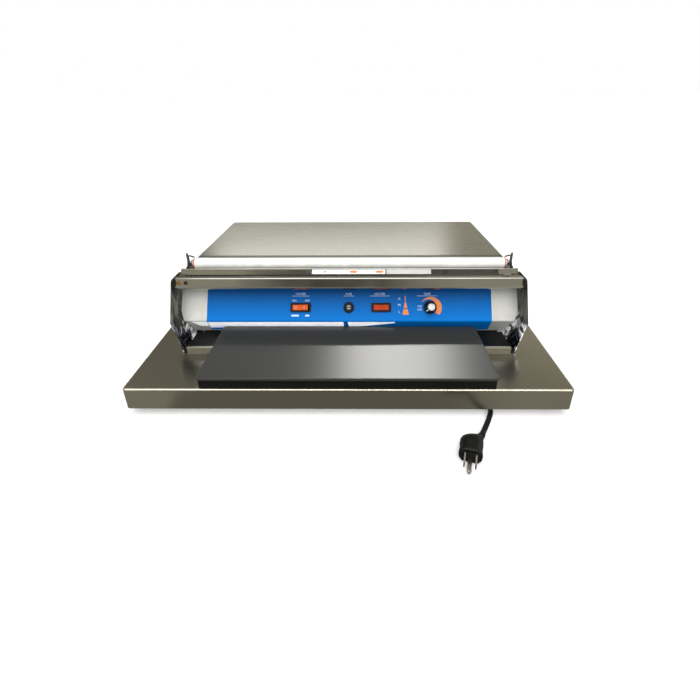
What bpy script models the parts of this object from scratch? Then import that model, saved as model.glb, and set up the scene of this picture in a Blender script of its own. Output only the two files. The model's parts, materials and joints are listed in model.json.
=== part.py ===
"""Tabletop stretch-film tray wrapper: a steel base with a hot plate in front, a control panel, a hot-wire
cutting bar, a guide roller and a hinged table over the film bay.

Drawing coordinates are millimetres: x to the right of the machine's centre, y back from the front edge of the
base, z up from the surface the machine stands on. The model's origin is the centre of the base, on that surface.
"""

from math import atan2, cos, hypot, pi, radians, sin

import bmesh
import bpy
from mathutils import Matrix, Vector

MM = 0.001
GAP = 0.3

# Base
BASE_WIDTH = 580.0
BASE_DEPTH = 470.0
DECK_TOP = 45.0
APRON_BOTTOM = 13.7
BASE_SHEET = 1.5
CORNER_RADIUS = 5.0
DECK_EDGE_RADIUS = 2.4
RETURN_FLANGE = 40.0
FOOT_INSET_X = 22.0
FOOT_INSET_Y = 30.0
FOOT_RADIUS = 12.5
BAY_HALF_WIDTH = 227.0
BAY_FRONT = 198.0
BAY_REAR = 440.0

# Hot plate
PLATE_WIDTH = 385.0
PLATE_FRONT = 0.5
PLATE_REAR = 127.0
PLATE_TOP = 62.0
PLATE_THICKNESS = 4.0
TRAY_FRONT = 2.5
TRAY_REAR = 74.0
TRAY_HALF_WIDTH = 190.0

# Body
SHEET = 1.2
SIDE_X = 257.0
SIDE_FOOT_X = 241.0
SIDE_FOLD_Z = 87.0
SIDE_FLANGE = 12.0
WALL_HALF_WIDTH = SIDE_X - SHEET - GAP
WALL_BOTTOM = DECK_TOP + GAP + SHEET + GAP
RAIL_FRONT = 77.5
RAIL_REAR = 81.7
RAIL_TOP = 57.0
RAIL_HALF_WIDTH = 232.5
PARTITION_Y = 190.5
REAR_WALL_Y = 447.0
REAR_WALL_TOP = 102.0

# Control panel: its fold above the lower face, and its upper edge, on the outer face
FOLD = (123.5, 73.5)
PANEL_TOP = (154.5, 126.0)
PANEL_FOOT_Y = 140.0
CONTROL_ROW = 20.6
OVERLAY_HALF_WIDTH = 216.0
OVERLAY_THICKNESS = 0.5
OVERLAY_DROP = 26.0
OVERLAY_RISE = 58.0
ROCKER_X = -73.0
FUSE_X = 0.0
LAMP_X = 49.0
KNOB_X = 123.0
CUTOUT_CLEARANCE = 0.4
FACE = GAP + OVERLAY_THICKNESS + GAP

# Cutter: the front bar's lip and crown as centre and radius, the wire's channel and the sloping strip
BAR_LIP = (124.6, 129.6, 2.6)
BAR_CROWN = (133.6, 137.6, 4.4)
BAR_BACK = 138.6
BAR_UNDERSIDE = 127.0
CHANNEL_BACK = 150.6
CHANNEL_FLOOR = 131.0
STRIP_FOOT = (151.2, 138.2)
STRIP_EDGE = (157.3, 145.2)
TERMINAL_SCREW_X = -248.5
END_PLUG_X = -238.5
WIRE_Y = 144.9
WIRE_Z = 138.6
SHELF_Z = 136.5
SPRING_START = 231.0
LABEL_HALF_WIDTH = 55.5

# Guide roller
ROLLER_Y = 177.0
ROLLER_Z = 147.0
ROLLER_RADIUS = 8.4
ROLLER_HALF_LENGTH = 240.0
AXLE_RADIUS = 3.0
BRACKET_X = 247.0
BRACKET_FRONT = 168.0
BRACKET_REAR = 186.5
BRACKET_TOP = 166.0

# Table and film cradle
TABLE_HALF_WIDTH = 255.3
TABLE_FRONT = (229.0, 137.6)
TABLE_REAR = (449.0, 132.0)
TABLE_SHEET = 1.5
PIVOT = (440.0, 118.0)
CRADLE_Z = 30.0
CRADLE_YS = (280.0, 360.0)
CRADLE_RADIUS = 11.0
JOURNAL_RADIUS = 4.0

# Electrical compartment
TRANSFORMER = (-150.0, 166.0)
TERMINALS = (172.0, 166.0)

# Mains cord: its route from the gland to the coil, and from the coil under the machine to the plug
CORD_RADIUS = 3.25
GLAND = (180.0, 470.0, 29.0)
CORD_TO_COIL = [
    (180.0, 500.6, 29.0), (180.0, 510.0, 28.7), (180.0, 522.0, 27.2), (180.0, 532.0, 25.0), (180.0, 541.0, 23.4),
]
COIL_CENTRE = (145.5, 556.0)
COIL_INNER_RADIUS = 31.25
COIL_OUTER_RADIUS = 44.25
COIL_HEIGHT = 19.5
CORD_TO_PLUG = [
    (104.5, 532.2, 15.4), (104.5, 520.0, 13.4), (104.5, 504.0, 9.8), (105.0, 486.0, 6.0),
    (106.5, 466.0, 3.8), (111.0, 430.0, 3.5), (120.0, 370.0, 3.5), (133.0, 300.0, 3.5), (149.0, 230.0, 3.5),
    (165.0, 160.0, 3.5), (179.0, 98.0, 3.5), (188.0, 50.0, 3.5), (191.0, 26.0, 3.5), (190.0, 9.0, 3.5),
    (184.6, -4.0, 3.5), (177.0, -17.8, 3.8), (171.2, -28.0, 5.4), (166.6, -36.0, 7.9),
]

# Plug: the back of its neck, the turn of its body, and its section's half-width, half-height, distance along
# and shift aside, because the cord enters at a corner
PLUG_BACK = (164.8, -39.6, 9.9)
PLUG_TURN = 17.0
PLUG_STEPS = (
    (4.3, 4.3, 0.0, 0.0), (5.2, 5.2, 5.0, -2.2), (7.6, 7.0, 8.0, -6.0), (11.0, 8.6, 11.0, -9.2),
    (13.0, 9.6, 15.0, -11.0), (13.6, 9.8, 21.0, -11.4), (13.6, 9.8, 36.0, -11.4), (12.8, 9.0, 38.0, -11.4),
)
PLUG_SEGMENTS = 20
PLUG_SQUARENESS = 0.72


# ---------------------------------------------------------------- materials

def material(name, colour, roughness, metallic=0.0):
    made = bpy.data.materials.new(name)
    made.use_nodes = True
    shader = made.node_tree.nodes["Principled BSDF"]
    shader.inputs["Base Color"].default_value = (*colour, 1.0)
    shader.inputs["Roughness"].default_value = roughness
    shader.inputs["Metallic"].default_value = metallic
    return made


def make_materials():
    return {
        "steel": material("satin_steel", (0.62, 0.62, 0.59), 0.32, 1.0),
        "mirror": material("mirror_steel", (0.66, 0.66, 0.63), 0.12, 1.0),
        "grey": material("panel_grey", (0.56, 0.56, 0.53), 0.45),
        "blue": material("overlay_blue", (0.0, 0.17, 0.55), 0.3),
        "coating": material("black_coating", (0.045, 0.045, 0.043), 0.35),
        "white": material("white_plastic", (0.85, 0.85, 0.82), 0.4),
        "black": material("black_plastic", (0.02, 0.02, 0.02), 0.4),
        "red": material("red_plastic", (0.45, 0.04, 0.02), 0.3),
        "orange": material("orange_plastic", (0.7, 0.12, 0.01), 0.35),
        "rubber": material("black_rubber", (0.015, 0.015, 0.015), 0.7),
        "brass": material("brass", (0.75, 0.5, 0.18), 0.3, 1.0),
        "silver": material("silver_cap", (0.75, 0.75, 0.75), 0.25, 1.0),
        "mat": material("silicone_mat", (0.35, 0.08, 0.04), 0.6),
        "board": material("insulation_board", (0.55, 0.5, 0.42), 0.9),
        "copper": material("copper_winding", (0.6, 0.25, 0.1), 0.4, 1.0),
        "core": material("core_steel", (0.18, 0.18, 0.19), 0.5, 1.0),
        "glass": material("fuse_glass", (0.8, 0.85, 0.85), 0.1),
    }


# ---------------------------------------------------------------- outlines

def arc(centre, radius, start, end, steps):
    """Points on an arc, with angles in degrees."""
    angles = [radians(start + (end - start) * i / steps) for i in range(steps + 1)]
    return [(centre[0] + radius * cos(a), centre[1] + radius * sin(a)) for a in angles]


def rounded(path, radius, steps=3):
    """An open path whose inner corners are replaced with arcs."""
    points = [path[0]]
    for before, corner, after in zip(path, path[1:], path[2:]):
        corner, before, after = Vector(corner), Vector(before), Vector(after)
        back, ahead = (before - corner).normalized(), (after - corner).normalized()
        half = back.angle(ahead) / 2
        reach = radius / (sin(half) / cos(half))
        centre = corner + (back + ahead).normalized() * (radius / sin(half))
        first = corner + back * reach - centre
        last = corner + ahead * reach - centre
        sweep = first.angle_signed(last)
        start = atan2(first.y, first.x)
        for i in range(steps + 1):
            angle = start - sweep * i / steps
            points.append((centre.x + radius * cos(angle), centre.y + radius * sin(angle)))
    points.append(path[-1])
    return points


def sheet_outline(path, thickness):
    """The closed outline of a bent sheet. The path is one face, and the sheet lies on its left (negative: right)."""
    offset = []
    for i, here in enumerate(path):
        here = Vector(here)
        normals = []
        for a, b in ((i - 1, i), (i, i + 1)):
            if a >= 0 and b < len(path):
                along = (Vector(path[b]) - Vector(path[a])).normalized()
                normals.append(Vector((-along.y, along.x)))
        normal = (normals[0] + normals[-1]).normalized()
        offset.append(tuple(here + normal * (thickness / normal.dot(normals[0]))))
    return list(path) + offset[::-1]


# ---------------------------------------------------------------- solids in drawing millimetres

AXES = {"x": (1, 2, 0), "y": (0, 2, 1), "z": (0, 1, 2)}


def add_prism(bm, outline, axis, low, high):
    """Extrudes a closed outline along an axis. It lies in (y, z) for x, (x, z) for y and (x, y) for z."""
    first, second, along = AXES[axis]

    def vertex(point, depth):
        place = [0.0, 0.0, 0.0]
        place[first], place[second], place[along] = point[0], point[1], depth
        return bm.verts.new(place)

    bottom = [vertex(p, low) for p in outline]
    top = [vertex(p, high) for p in outline]
    faces = [bm.faces.new(bottom), bm.faces.new(top)]
    count = len(outline)
    for i in range(count):
        j = (i + 1) % count
        faces.append(bm.faces.new((bottom[i], bottom[j], top[j], top[i])))
    bmesh.ops.recalc_face_normals(bm, faces=faces)


def add_box(bm, low, high):
    (x0, y0, z0), (x1, y1, z1) = low, high
    add_prism(bm, [(x0, y0), (x1, y0), (x1, y1), (x0, y1)], "z", z0, z1)


def add_turned(bm, profile, axis, centre, segments=24, closed=False):
    """Turns a profile of (radius, height) pairs about a line along an axis. A closed profile makes a ring."""
    first, second, along = AXES[axis]

    def ring(radius, height):
        verts = []
        for i in range(1 if radius == 0 else segments):
            place = [0.0, 0.0, 0.0]
            place[first] = centre[first] + radius * cos(2 * pi * i / segments)
            place[second] = centre[second] + radius * sin(2 * pi * i / segments)
            place[along] = centre[along] + height
            verts.append(bm.verts.new(place))
        return verts

    rings = [ring(*point) for point in profile]
    pairs = list(zip(rings, rings[1:]))
    faces = []
    if closed:
        pairs.append((rings[-1], rings[0]))
    else:
        for end in (rings[0], rings[-1]):
            if len(end) > 1:
                faces.append(bm.faces.new(end))
    for lower, upper in pairs:
        for i in range(segments):
            j = (i + 1) % segments
            corners = [lower[i % len(lower)], lower[j % len(lower)], upper[j % len(upper)], upper[i % len(upper)]]
            faces.append(bm.faces.new(list(dict.fromkeys(corners))))
    bmesh.ops.recalc_face_normals(bm, faces=faces)


def rounded_rectangle(x0, y0, x1, y1, radius, steps=3):
    corners = ((x1, y1, 0), (x0, y1, 90), (x0, y0, 180), (x1, y0, 270))
    points = []
    for x, y, start in corners:
        centre = (x - radius if x == x1 else x + radius, y - radius if y == y1 else y + radius)
        points += arc(centre, radius, start, start + 90, steps)
    return points


# ---------------------------------------------------------------- objects

def world(x, y, z):
    return Vector((x, y - BASE_DEPTH / 2, z)) * MM


def finish_object(name, bm, finish, matrix, smooth):
    mesh = bpy.data.meshes.new(name)
    bm.to_mesh(mesh)
    bm.free()
    if smooth:
        mesh.shade_smooth()
        mesh.set_sharp_from_angle(angle=radians(32))
    if finish:
        mesh.materials.append(finish)
    made = bpy.data.objects.new(name, mesh)
    made.matrix_world = matrix
    bpy.context.scene.collection.objects.link(made)
    return made


def add_object(name, bm, finish, pivot=(0.0, 0.0, 0.0), smooth=True):
    """An object drawn in drawing coordinates, with its origin at the pivot."""
    for vert in bm.verts:
        vert.co = (vert.co - Vector(pivot)) * MM
    return finish_object(name, bm, finish, Matrix.Translation(world(*pivot)), smooth)


def add_local(name, bm, finish, matrix, smooth=True):
    """An object drawn in millimetres in a frame of its own."""
    for vert in bm.verts:
        vert.co = vert.co * MM
    return finish_object(name, bm, finish, matrix, smooth)


def boolean(target, tool, operation):
    """Cuts or joins with a hidden tool object."""
    tool.hide_render = True
    tool.display_type = "WIRE"
    modifier = target.modifiers.new(tool.name, "BOOLEAN")
    modifier.operation = operation
    modifier.object = tool
    modifier.solver = "EXACT"


def bevelled(target, width, segments=2, angle=40):
    modifier = target.modifiers.new("edges", "BEVEL")
    modifier.width = width * MM
    modifier.segments = segments
    modifier.limit_method = "ANGLE"
    modifier.angle_limit = radians(angle)
    modifier.harden_normals = False


def box_tool(name, boxes):
    bm = bmesh.new()
    for low, high in boxes:
        add_box(bm, low, high)
    return add_object(name, bm, None, smooth=False)


def drill_tool(name, axis, holes):
    """Cylinders along an axis, each given as centre, radius, and start and end along the axis."""
    bm = bmesh.new()
    for centre, radius, low, high in holes:
        place = list(centre)
        place[AXES[axis][2]] = 0.0
        add_turned(bm, [(radius, low), (radius, high)], axis, place, 16)
    return add_object(name, bm, None, smooth=False)


def panel_frame(x, up=CONTROL_ROW):
    """The frame of a control: x across, y up the slope of the panel, z out of its face."""
    slope = Vector((0.0, PANEL_TOP[0] - FOLD[0], PANEL_TOP[1] - FOLD[1])).normalized()
    across = Vector((1.0, 0.0, 0.0))
    place = world(x, FOLD[0], FOLD[1]) + slope * up * MM
    turn = Matrix((across, slope, across.cross(slope))).transposed()
    return Matrix.Translation(place) @ turn.to_4x4()


# ---------------------------------------------------------------- base

def make_base(mats):
    half = BASE_WIDTH / 2
    bm = bmesh.new()
    outline = rounded_rectangle(-half, 0.0, half, BASE_DEPTH, CORNER_RADIUS, 4)
    add_prism(bm, outline, "z", APRON_BOTTOM, DECK_TOP)
    top_edges = [e for e in bm.edges if all(v.co.z == DECK_TOP for v in e.verts)]
    bmesh.ops.bevel(bm, geom=top_edges, offset=DECK_EDGE_RADIUS, segments=3, profile=0.5, affect="EDGES")
    deck = add_object("base_deck", bm, mats["mirror"])

    inner = half - BASE_SHEET
    flange_top = APRON_BOTTOM + 2 * BASE_SHEET + GAP
    lip = RETURN_FLANGE + BASE_SHEET
    cavity = ((-inner, BASE_SHEET, flange_top), (inner, BASE_DEPTH - BASE_SHEET, DECK_TOP - BASE_SHEET))
    mouth = ((-half + lip, lip, flange_top - 5), (half - lip, BASE_DEPTH - lip, flange_top + 5))
    recess = ((-inner, BASE_SHEET, 0.0), (inner, BASE_DEPTH - BASE_SHEET, flange_top - BASE_SHEET))
    bay = ((-BAY_HALF_WIDTH, BAY_FRONT, DECK_TOP - 8), (BAY_HALF_WIDTH, BAY_REAR, DECK_TOP + 8))
    wire_hole = ((196.0, 150.0, DECK_TOP - 8), (214.0, 170.0, DECK_TOP + 8))
    cuts = {"cavity": cavity, "mouth": mouth, "recess": recess, "bay": bay, "wires": wire_hole}
    for name, box in cuts.items():
        boolean(deck, box_tool("cut_base_" + name, [box]), "DIFFERENCE")

    feet = {
        front + "_" + side: (sign * (half - FOOT_INSET_X), y)
        for side, sign in (("left", -1), ("right", 1))
        for front, y in (("front", FOOT_INSET_Y), ("rear", BASE_DEPTH - FOOT_INSET_Y))
    }
    foot_holes = [((x, y, 0.0), 2.4, -5.0, 25.0) for x, y in feet.values()]
    boolean(deck, drill_tool("cut_base_feet", "z", foot_holes), "DIFFERENCE")
    gland_hole = [((GLAND[0], 0.0, GLAND[2]), 8.3, BASE_DEPTH - 6, BASE_DEPTH + 6)]
    boolean(deck, drill_tool("cut_base_gland", "y", gland_hole), "DIFFERENCE")

    bm = bmesh.new()
    floor_low = (-inner + 0.5, BASE_SHEET + 0.5, APRON_BOTTOM + GAP)
    floor_high = (inner - 0.5, BASE_DEPTH - BASE_SHEET - 0.5, APRON_BOTTOM + BASE_SHEET)
    add_box(bm, floor_low, floor_high)
    floor = add_object("base_floor", bm, mats["steel"], smooth=False)
    boolean(floor, drill_tool("cut_floor_feet", "z", foot_holes), "DIFFERENCE")

    barb_low = flange_top + GAP
    foot_profile = [
        (0.0, 5.0), (5.6, 5.0), (5.6, 0.0), (FOOT_RADIUS - 1, 0.0), (FOOT_RADIUS, 1.0),
        (FOOT_RADIUS - 1, APRON_BOTTOM),
        (2.1, APRON_BOTTOM), (2.1, barb_low), (3.2, barb_low), (1.2, barb_low + 4.0), (0.0, barb_low + 4.0),
    ]
    for name, (x, y) in feet.items():
        bm = bmesh.new()
        add_turned(bm, foot_profile, "z", (x, y, 0.0), 24)
        add_object("foot_" + name, bm, mats["rubber"])


# ---------------------------------------------------------------- body

def trim_prism(name, y0=60.0, y1=460.0, clearance=GAP):
    """The space between the side plates, which lean inward below their fold."""
    top, fold, foot = SIDE_X - SHEET - clearance, SIDE_FOLD_Z, SIDE_FOOT_X - SHEET - clearance
    outline = [(foot, DECK_TOP), (top, fold), (top, 170.0), (-top, 170.0), (-top, fold), (-foot, DECK_TOP)]
    bm = bmesh.new()
    add_prism(bm, outline, "y", y0, y1)
    return add_object(name, bm, None, smooth=False)


def table_height(y):
    """The height of the table's upper face at a place along its slope."""
    slope = (TABLE_REAR[1] - TABLE_FRONT[1]) / (TABLE_REAR[0] - TABLE_FRONT[0])
    return TABLE_FRONT[1] + slope * (y - TABLE_FRONT[0])


def side_outline():
    """The side plates seen from the side: nose, cutter horn, roller step, table line and rear edge."""
    flush = 1.0
    points = [(82.0, DECK_TOP + GAP), (93.0, 87.0), (119.0, 139.0)]
    points += arc((124.0, 138.0), 5.0, 158.0, 90.0, 4)
    points += [(152.0, 143.0)] + arc((154.0, 138.5), 2.5, 60.0, 10.0, 2) + [(158.0, table_height(229.0) - flush)]
    points += [(229.0, table_height(229.0) - flush), (443.0, table_height(443.0) - flush)]
    points += arc((444.0, 124.5), 6.0, 80.0, 0.0, 4)
    points += [(450.0, DECK_TOP + GAP)]
    return points


def make_side_plates(mats):
    for side, sign in (("left", -1), ("right", 1)):
        path = [
            (SIDE_X, 160.0), (SIDE_X, SIDE_FOLD_Z), (SIDE_FOOT_X, DECK_TOP + GAP),
            (SIDE_FOOT_X - SIDE_FLANGE, DECK_TOP + GAP),
        ]
        section = sheet_outline(rounded(path, 2.0), -SHEET)
        bm = bmesh.new()
        add_prism(bm, [(sign * x, z) for x, z in section], "y", 75.0, 456.0)
        plate = add_object(side + "_side_plate", bm, mats["mirror"])
        bm = bmesh.new()
        add_prism(bm, side_outline(), "x", *sorted((sign * 215.0, sign * 265.0)))
        boolean(plate, add_object("trim_" + side + "_side", bm, None, smooth=False), "INTERSECT")
        flange_front = box_tool("cut_" + side + "_flange", [(
            (min(sign * 225.0, sign * 239.5), 70.0, DECK_TOP - 2),
            (max(sign * 225.0, sign * 239.5), PANEL_FOOT_Y - 2.0, DECK_TOP + 2.6),
        )])
        boolean(plate, flange_front, "DIFFERENCE")
        pivot = [((0.0, *PIVOT), 3.4, *sorted((sign * 245.0, sign * 265.0)))]
        boolean(plate, drill_tool("cut_" + side + "_pivot", "x", pivot), "DIFFERENCE")


def make_front_rail(mats):
    path = [
        (RAIL_FRONT, DECK_TOP + GAP), (RAIL_FRONT, RAIL_TOP), (RAIL_REAR, RAIL_TOP), (RAIL_REAR, RAIL_TOP - 6.0),
    ]
    bm = bmesh.new()
    add_prism(bm, sheet_outline(rounded(path, 1.4), -SHEET), "x", -RAIL_HALF_WIDTH, RAIL_HALF_WIDTH)
    add_object("front_rail", bm, mats["mirror"])


def make_walls(mats):
    bm = bmesh.new()
    path = [
        (PARTITION_Y - 12.0, SHELF_Z - SHEET - GAP), (PARTITION_Y, SHELF_Z - SHEET - GAP), (PARTITION_Y, WALL_BOTTOM),
        (PARTITION_Y - 9.0, WALL_BOTTOM),
    ]
    add_prism(bm, sheet_outline(rounded(path, 2.0), -SHEET), "x", -SIDE_X, SIDE_X)
    wall = add_object("partition_wall", bm, mats["steel"])
    boolean(wall, trim_prism("trim_partition"), "INTERSECT")

    bm = bmesh.new()
    path = [
        (REAR_WALL_Y - 7.6, WALL_BOTTOM), (REAR_WALL_Y, WALL_BOTTOM), (REAR_WALL_Y, REAR_WALL_TOP),
        (REAR_WALL_Y - 8.0, REAR_WALL_TOP),
    ]
    add_prism(bm, sheet_outline(rounded(path, 2.0), SHEET), "x", -SIDE_X, SIDE_X)
    wall = add_object("rear_wall", bm, mats["mirror"])
    boolean(wall, trim_prism("trim_rear"), "INTERSECT")
    slots = [((x - 18.0, REAR_WALL_Y - 4, z), (x + 18.0, REAR_WALL_Y + 4, z + 4.0))
             for x in (-150.0, -100.0, -50.0, 0.0, 50.0, 100.0, 150.0) for z in (70.0, 80.0)]
    boolean(wall, box_tool("cut_rear_vents", slots), "DIFFERENCE")


# ---------------------------------------------------------------- control panel

def control_cutouts(name):
    """The holes for the controls, drilled square through the panel and its overlay."""
    bm = bmesh.new()
    fit = CUTOUT_CLEARANCE
    shapes = (
        (ROCKER_X, rounded_rectangle(-13.6 - fit, -5.6 - fit, 13.6 + fit, 5.6 + fit, 1.0, 1)),
        (LAMP_X, rounded_rectangle(-12.6 - fit, -5.2 - fit, 12.6 + fit, 5.2 + fit, 1.0, 1)),
        (FUSE_X, arc((0, 0), 6.2 + fit, 0, 345, 23)),
        (KNOB_X, arc((0, 0), 4.2, 0, 337.5, 15)),
    )
    for x, outline in shapes:
        part = bmesh.new()
        add_prism(part, outline, "z", -6.0, 6.0)
        scratch = bpy.data.meshes.new(name)
        part.transform(Matrix.Scale(MM, 4))
        part.transform(panel_frame(x))
        part.to_mesh(scratch)
        part.free()
        bm.from_mesh(scratch)
        bpy.data.meshes.remove(scratch)
    return finish_object(name, bm, None, Matrix.Identity(4), False)


def make_control_panel(mats):
    path = [(PANEL_FOOT_Y + 12.0, WALL_BOTTOM), (PANEL_FOOT_Y, WALL_BOTTOM), FOLD, PANEL_TOP,
            (PANEL_TOP[0] + 9.0, PANEL_TOP[1])]
    bm = bmesh.new()
    add_prism(bm, sheet_outline(rounded(path, 2.2), -SHEET), "x", -SIDE_X, SIDE_X)
    panel = add_object("control_panel", bm, mats["grey"])
    boolean(panel, trim_prism("trim_panel"), "INTERSECT")
    boolean(panel, control_cutouts("cut_panel_controls"), "DIFFERENCE")

    slope = (Vector(PANEL_TOP) - Vector(FOLD)).normalized()
    fall = (Vector((PANEL_FOOT_Y, WALL_BOTTOM)) - Vector(FOLD)).normalized()
    out, out_below = Vector((-slope.y, slope.x)), Vector((fall.y, -fall.x))
    low = Vector(FOLD) + fall * OVERLAY_DROP + out_below * GAP
    high = Vector(FOLD) + slope * OVERLAY_RISE + out * GAP
    bend = Vector(FOLD) + (out + out_below).normalized() * GAP
    bm = bmesh.new()
    path = rounded([tuple(low), tuple(bend), tuple(high)], 2.4)
    add_prism(bm, sheet_outline(path, OVERLAY_THICKNESS), "x", -OVERLAY_HALF_WIDTH, OVERLAY_HALF_WIDTH)
    overlay = add_object("panel_overlay", bm, mats["blue"])
    boolean(overlay, control_cutouts("cut_overlay_controls"), "DIFFERENCE")


def make_rocker(mats):
    frame = panel_frame(ROCKER_X)
    bm = bmesh.new()
    add_prism(bm, rounded_rectangle(-15.5, -7.0, 15.5, 7.0, 1.6, 2), "z", FACE, FACE + 2.0)
    bezel = add_local("rocker_housing", bm, mats["black"], frame)
    bm = bmesh.new()
    add_prism(bm, rounded_rectangle(-13.5, -5.5, 13.5, 5.5, 0.8, 1), "z", -20.0, FACE + 1.0)
    boolean(bezel, add_local("join_rocker_body", bm, None, frame, False), "UNION")
    bm = bmesh.new()
    add_prism(bm, rounded_rectangle(-12.9, -4.7, 12.9, 4.7, 0.5, 1), "z", -8.5, 8.0)
    boolean(bezel, add_local("cut_rocker_well", bm, None, frame, False), "DIFFERENCE")
    bm = bmesh.new()
    for x in (-9.0, 0.0, 9.0):
        add_box(bm, (x - 0.4, -3.0, -27.0), (x + 0.4, 3.0, -19.0))
    boolean(bezel, add_local("join_rocker_tabs", bm, None, frame, False), "UNION")

    tilt = Matrix.Rotation(radians(-10.0), 4, "Y")
    top = [(-12.1, 4.2), (-6.0, 3.0), (0.0, 2.5), (6.0, 3.0), (12.1, 4.2)]
    outline = top[::-1] + [(-11.6, -0.6)] + [(8.0 * cos(radians(a)), 7.0 * sin(radians(a)))
                                              for a in (205, 235, 270, 305, 335)] + [(11.6, -0.6)]
    bm = bmesh.new()
    add_prism(bm, outline, "y", -4.2, 4.2)
    button = add_local("rocker_button", bm, mats["orange"], frame @ tilt)
    bevelled(button, 0.35, 1, 50)


def make_lamp(mats):
    frame = panel_frame(LAMP_X)
    bm = bmesh.new()
    add_prism(bm, rounded_rectangle(-15.0, -7.0, 15.0, 7.0, 1.6, 2), "z", FACE, FACE + 1.8)
    housing = add_local("lamp_housing", bm, mats["black"], frame)
    bm = bmesh.new()
    add_prism(bm, rounded_rectangle(-12.5, -5.1, 12.5, 5.1, 0.8, 1), "z", -18.0, FACE + 1.0)
    boolean(housing, add_local("join_lamp_body", bm, None, frame, False), "UNION")
    bm = bmesh.new()
    add_prism(bm, rounded_rectangle(-11.7, -4.3, 11.7, 4.3, 0.6, 1), "z", -10.0, 8.0)
    boolean(housing, add_local("cut_lamp_well", bm, None, frame, False), "DIFFERENCE")
    bm = bmesh.new()
    add_prism(bm, rounded_rectangle(-11.3, -3.9, 11.3, 3.9, 0.5, 2), "z", -4.0, FACE + 2.8)
    lens = add_local("lamp_lens", bm, mats["red"], frame)
    bevelled(lens, 0.8, 2, 50)


def make_fuse(mats):
    frame = panel_frame(FUSE_X)
    bm = bmesh.new()
    holder = [(4.2, -29.0), (6.1, -29.0), (6.1, FACE), (8.3, FACE), (8.3, FACE + 1.6), (7.6, FACE + 2.2),
              (4.2, FACE + 2.2)]
    add_turned(bm, holder, "z", (0, 0, 0), 24, closed=True)
    add_local("fuse_holder", bm, mats["black"], frame)
    bm = bmesh.new()
    cap = [(0.0, -1.0), (3.9, -1.0), (3.9, FACE + 2.5), (6.0, FACE + 2.5), (6.0, FACE + 5.6), (5.2, FACE + 6.4),
           (0.0, FACE + 6.4)]
    add_turned(bm, cap, "z", (0, 0, 0), 24)
    cap = add_local("fuse_cap", bm, mats["black"], frame)
    bm = bmesh.new()
    add_box(bm, (-5.0, -0.6, FACE + 5.4), (5.0, 0.6, FACE + 9.0))
    boolean(cap, add_local("cut_fuse_slot", bm, None, frame, False), "DIFFERENCE")
    bm = bmesh.new()
    link = [(0.0, -22.0), (2.6, -22.0), (2.6, -17.0), (2.2, -16.6), (2.2, -6.9), (2.6, -6.5), (2.6, -1.3), (0.0, -1.3)]
    add_turned(bm, link, "z", (0, 0, 0), 12)
    add_local("fuse_link", bm, mats["glass"], frame)


def make_thermostat(mats):
    frame = panel_frame(KNOB_X)
    bm = bmesh.new()
    add_prism(bm, rounded_rectangle(-17.0, -17.0, 17.0, 17.0, 3.0, 2), "z", -28.0, -SHEET - 2.0)
    body = add_local("thermostat_body", bm, mats["board"], frame)
    bm = bmesh.new()
    add_turned(bm, [(3.4, -18.0), (3.4, 2.0)], "z", (0, 0, 0), 16)
    boolean(body, add_local("cut_thermostat_bore", bm, None, frame, False), "DIFFERENCE")
    bm = bmesh.new()
    add_turned(bm, [(0.0, -17.0), (3.0, -17.0), (3.0, FACE + 11.0), (0.0, FACE + 11.0)], "z", (0, 0, 0), 16)
    add_local("thermostat_shaft", bm, mats["steel"], frame)
    bm = bmesh.new()
    low = FACE + 0.4
    knob = [(0.0, FACE + 11.3), (3.3, FACE + 11.3), (3.3, low), (10.0, low), (10.0, low + 1.6), (8.2, low + 3.0),
            (7.6, low + 12.9), (7.0, low + 13.6), (5.7, low + 13.6), (5.7, low + 12.6), (0.0, low + 12.6)]
    add_turned(bm, knob, "z", (0, 0, 0), 32)
    add_local("knob", bm, mats["black"], frame)
    bm = bmesh.new()
    cap = [(0.0, low + 12.9), (5.3, low + 12.9), (5.3, low + 14.0), (4.8, low + 14.5), (0.0, low + 14.5)]
    add_turned(bm, cap, "z", (0, 0, 0), 32)
    add_local("knob_cap", bm, mats["silver"], frame)


# ---------------------------------------------------------------- cutter

def tilted_frame(x, low, high, up):
    """The frame of a sloping face drawn from low to high in (y, z): x across, y up the slope, z out of it."""
    slope = Vector((0.0, high[0] - low[0], high[1] - low[1])).normalized()
    across = Vector((1.0, 0.0, 0.0))
    turn = Matrix((across, slope, across.cross(slope))).transposed()
    return Matrix.Translation(world(x, *low) + slope * up * MM) @ turn.to_4x4()


def bar_face(x):
    """The middle of the front bar's sloping face."""
    reach = 1 / hypot(1, 1)
    low = (BAR_LIP[0] - BAR_LIP[2] * reach, BAR_LIP[1] + BAR_LIP[2] * reach)
    high = (BAR_CROWN[0] - BAR_CROWN[2] * reach, BAR_CROWN[1] + BAR_CROWN[2] * reach)
    return tilted_frame(x, low, high, (Vector(high) - Vector(low)).length / 2)


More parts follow.
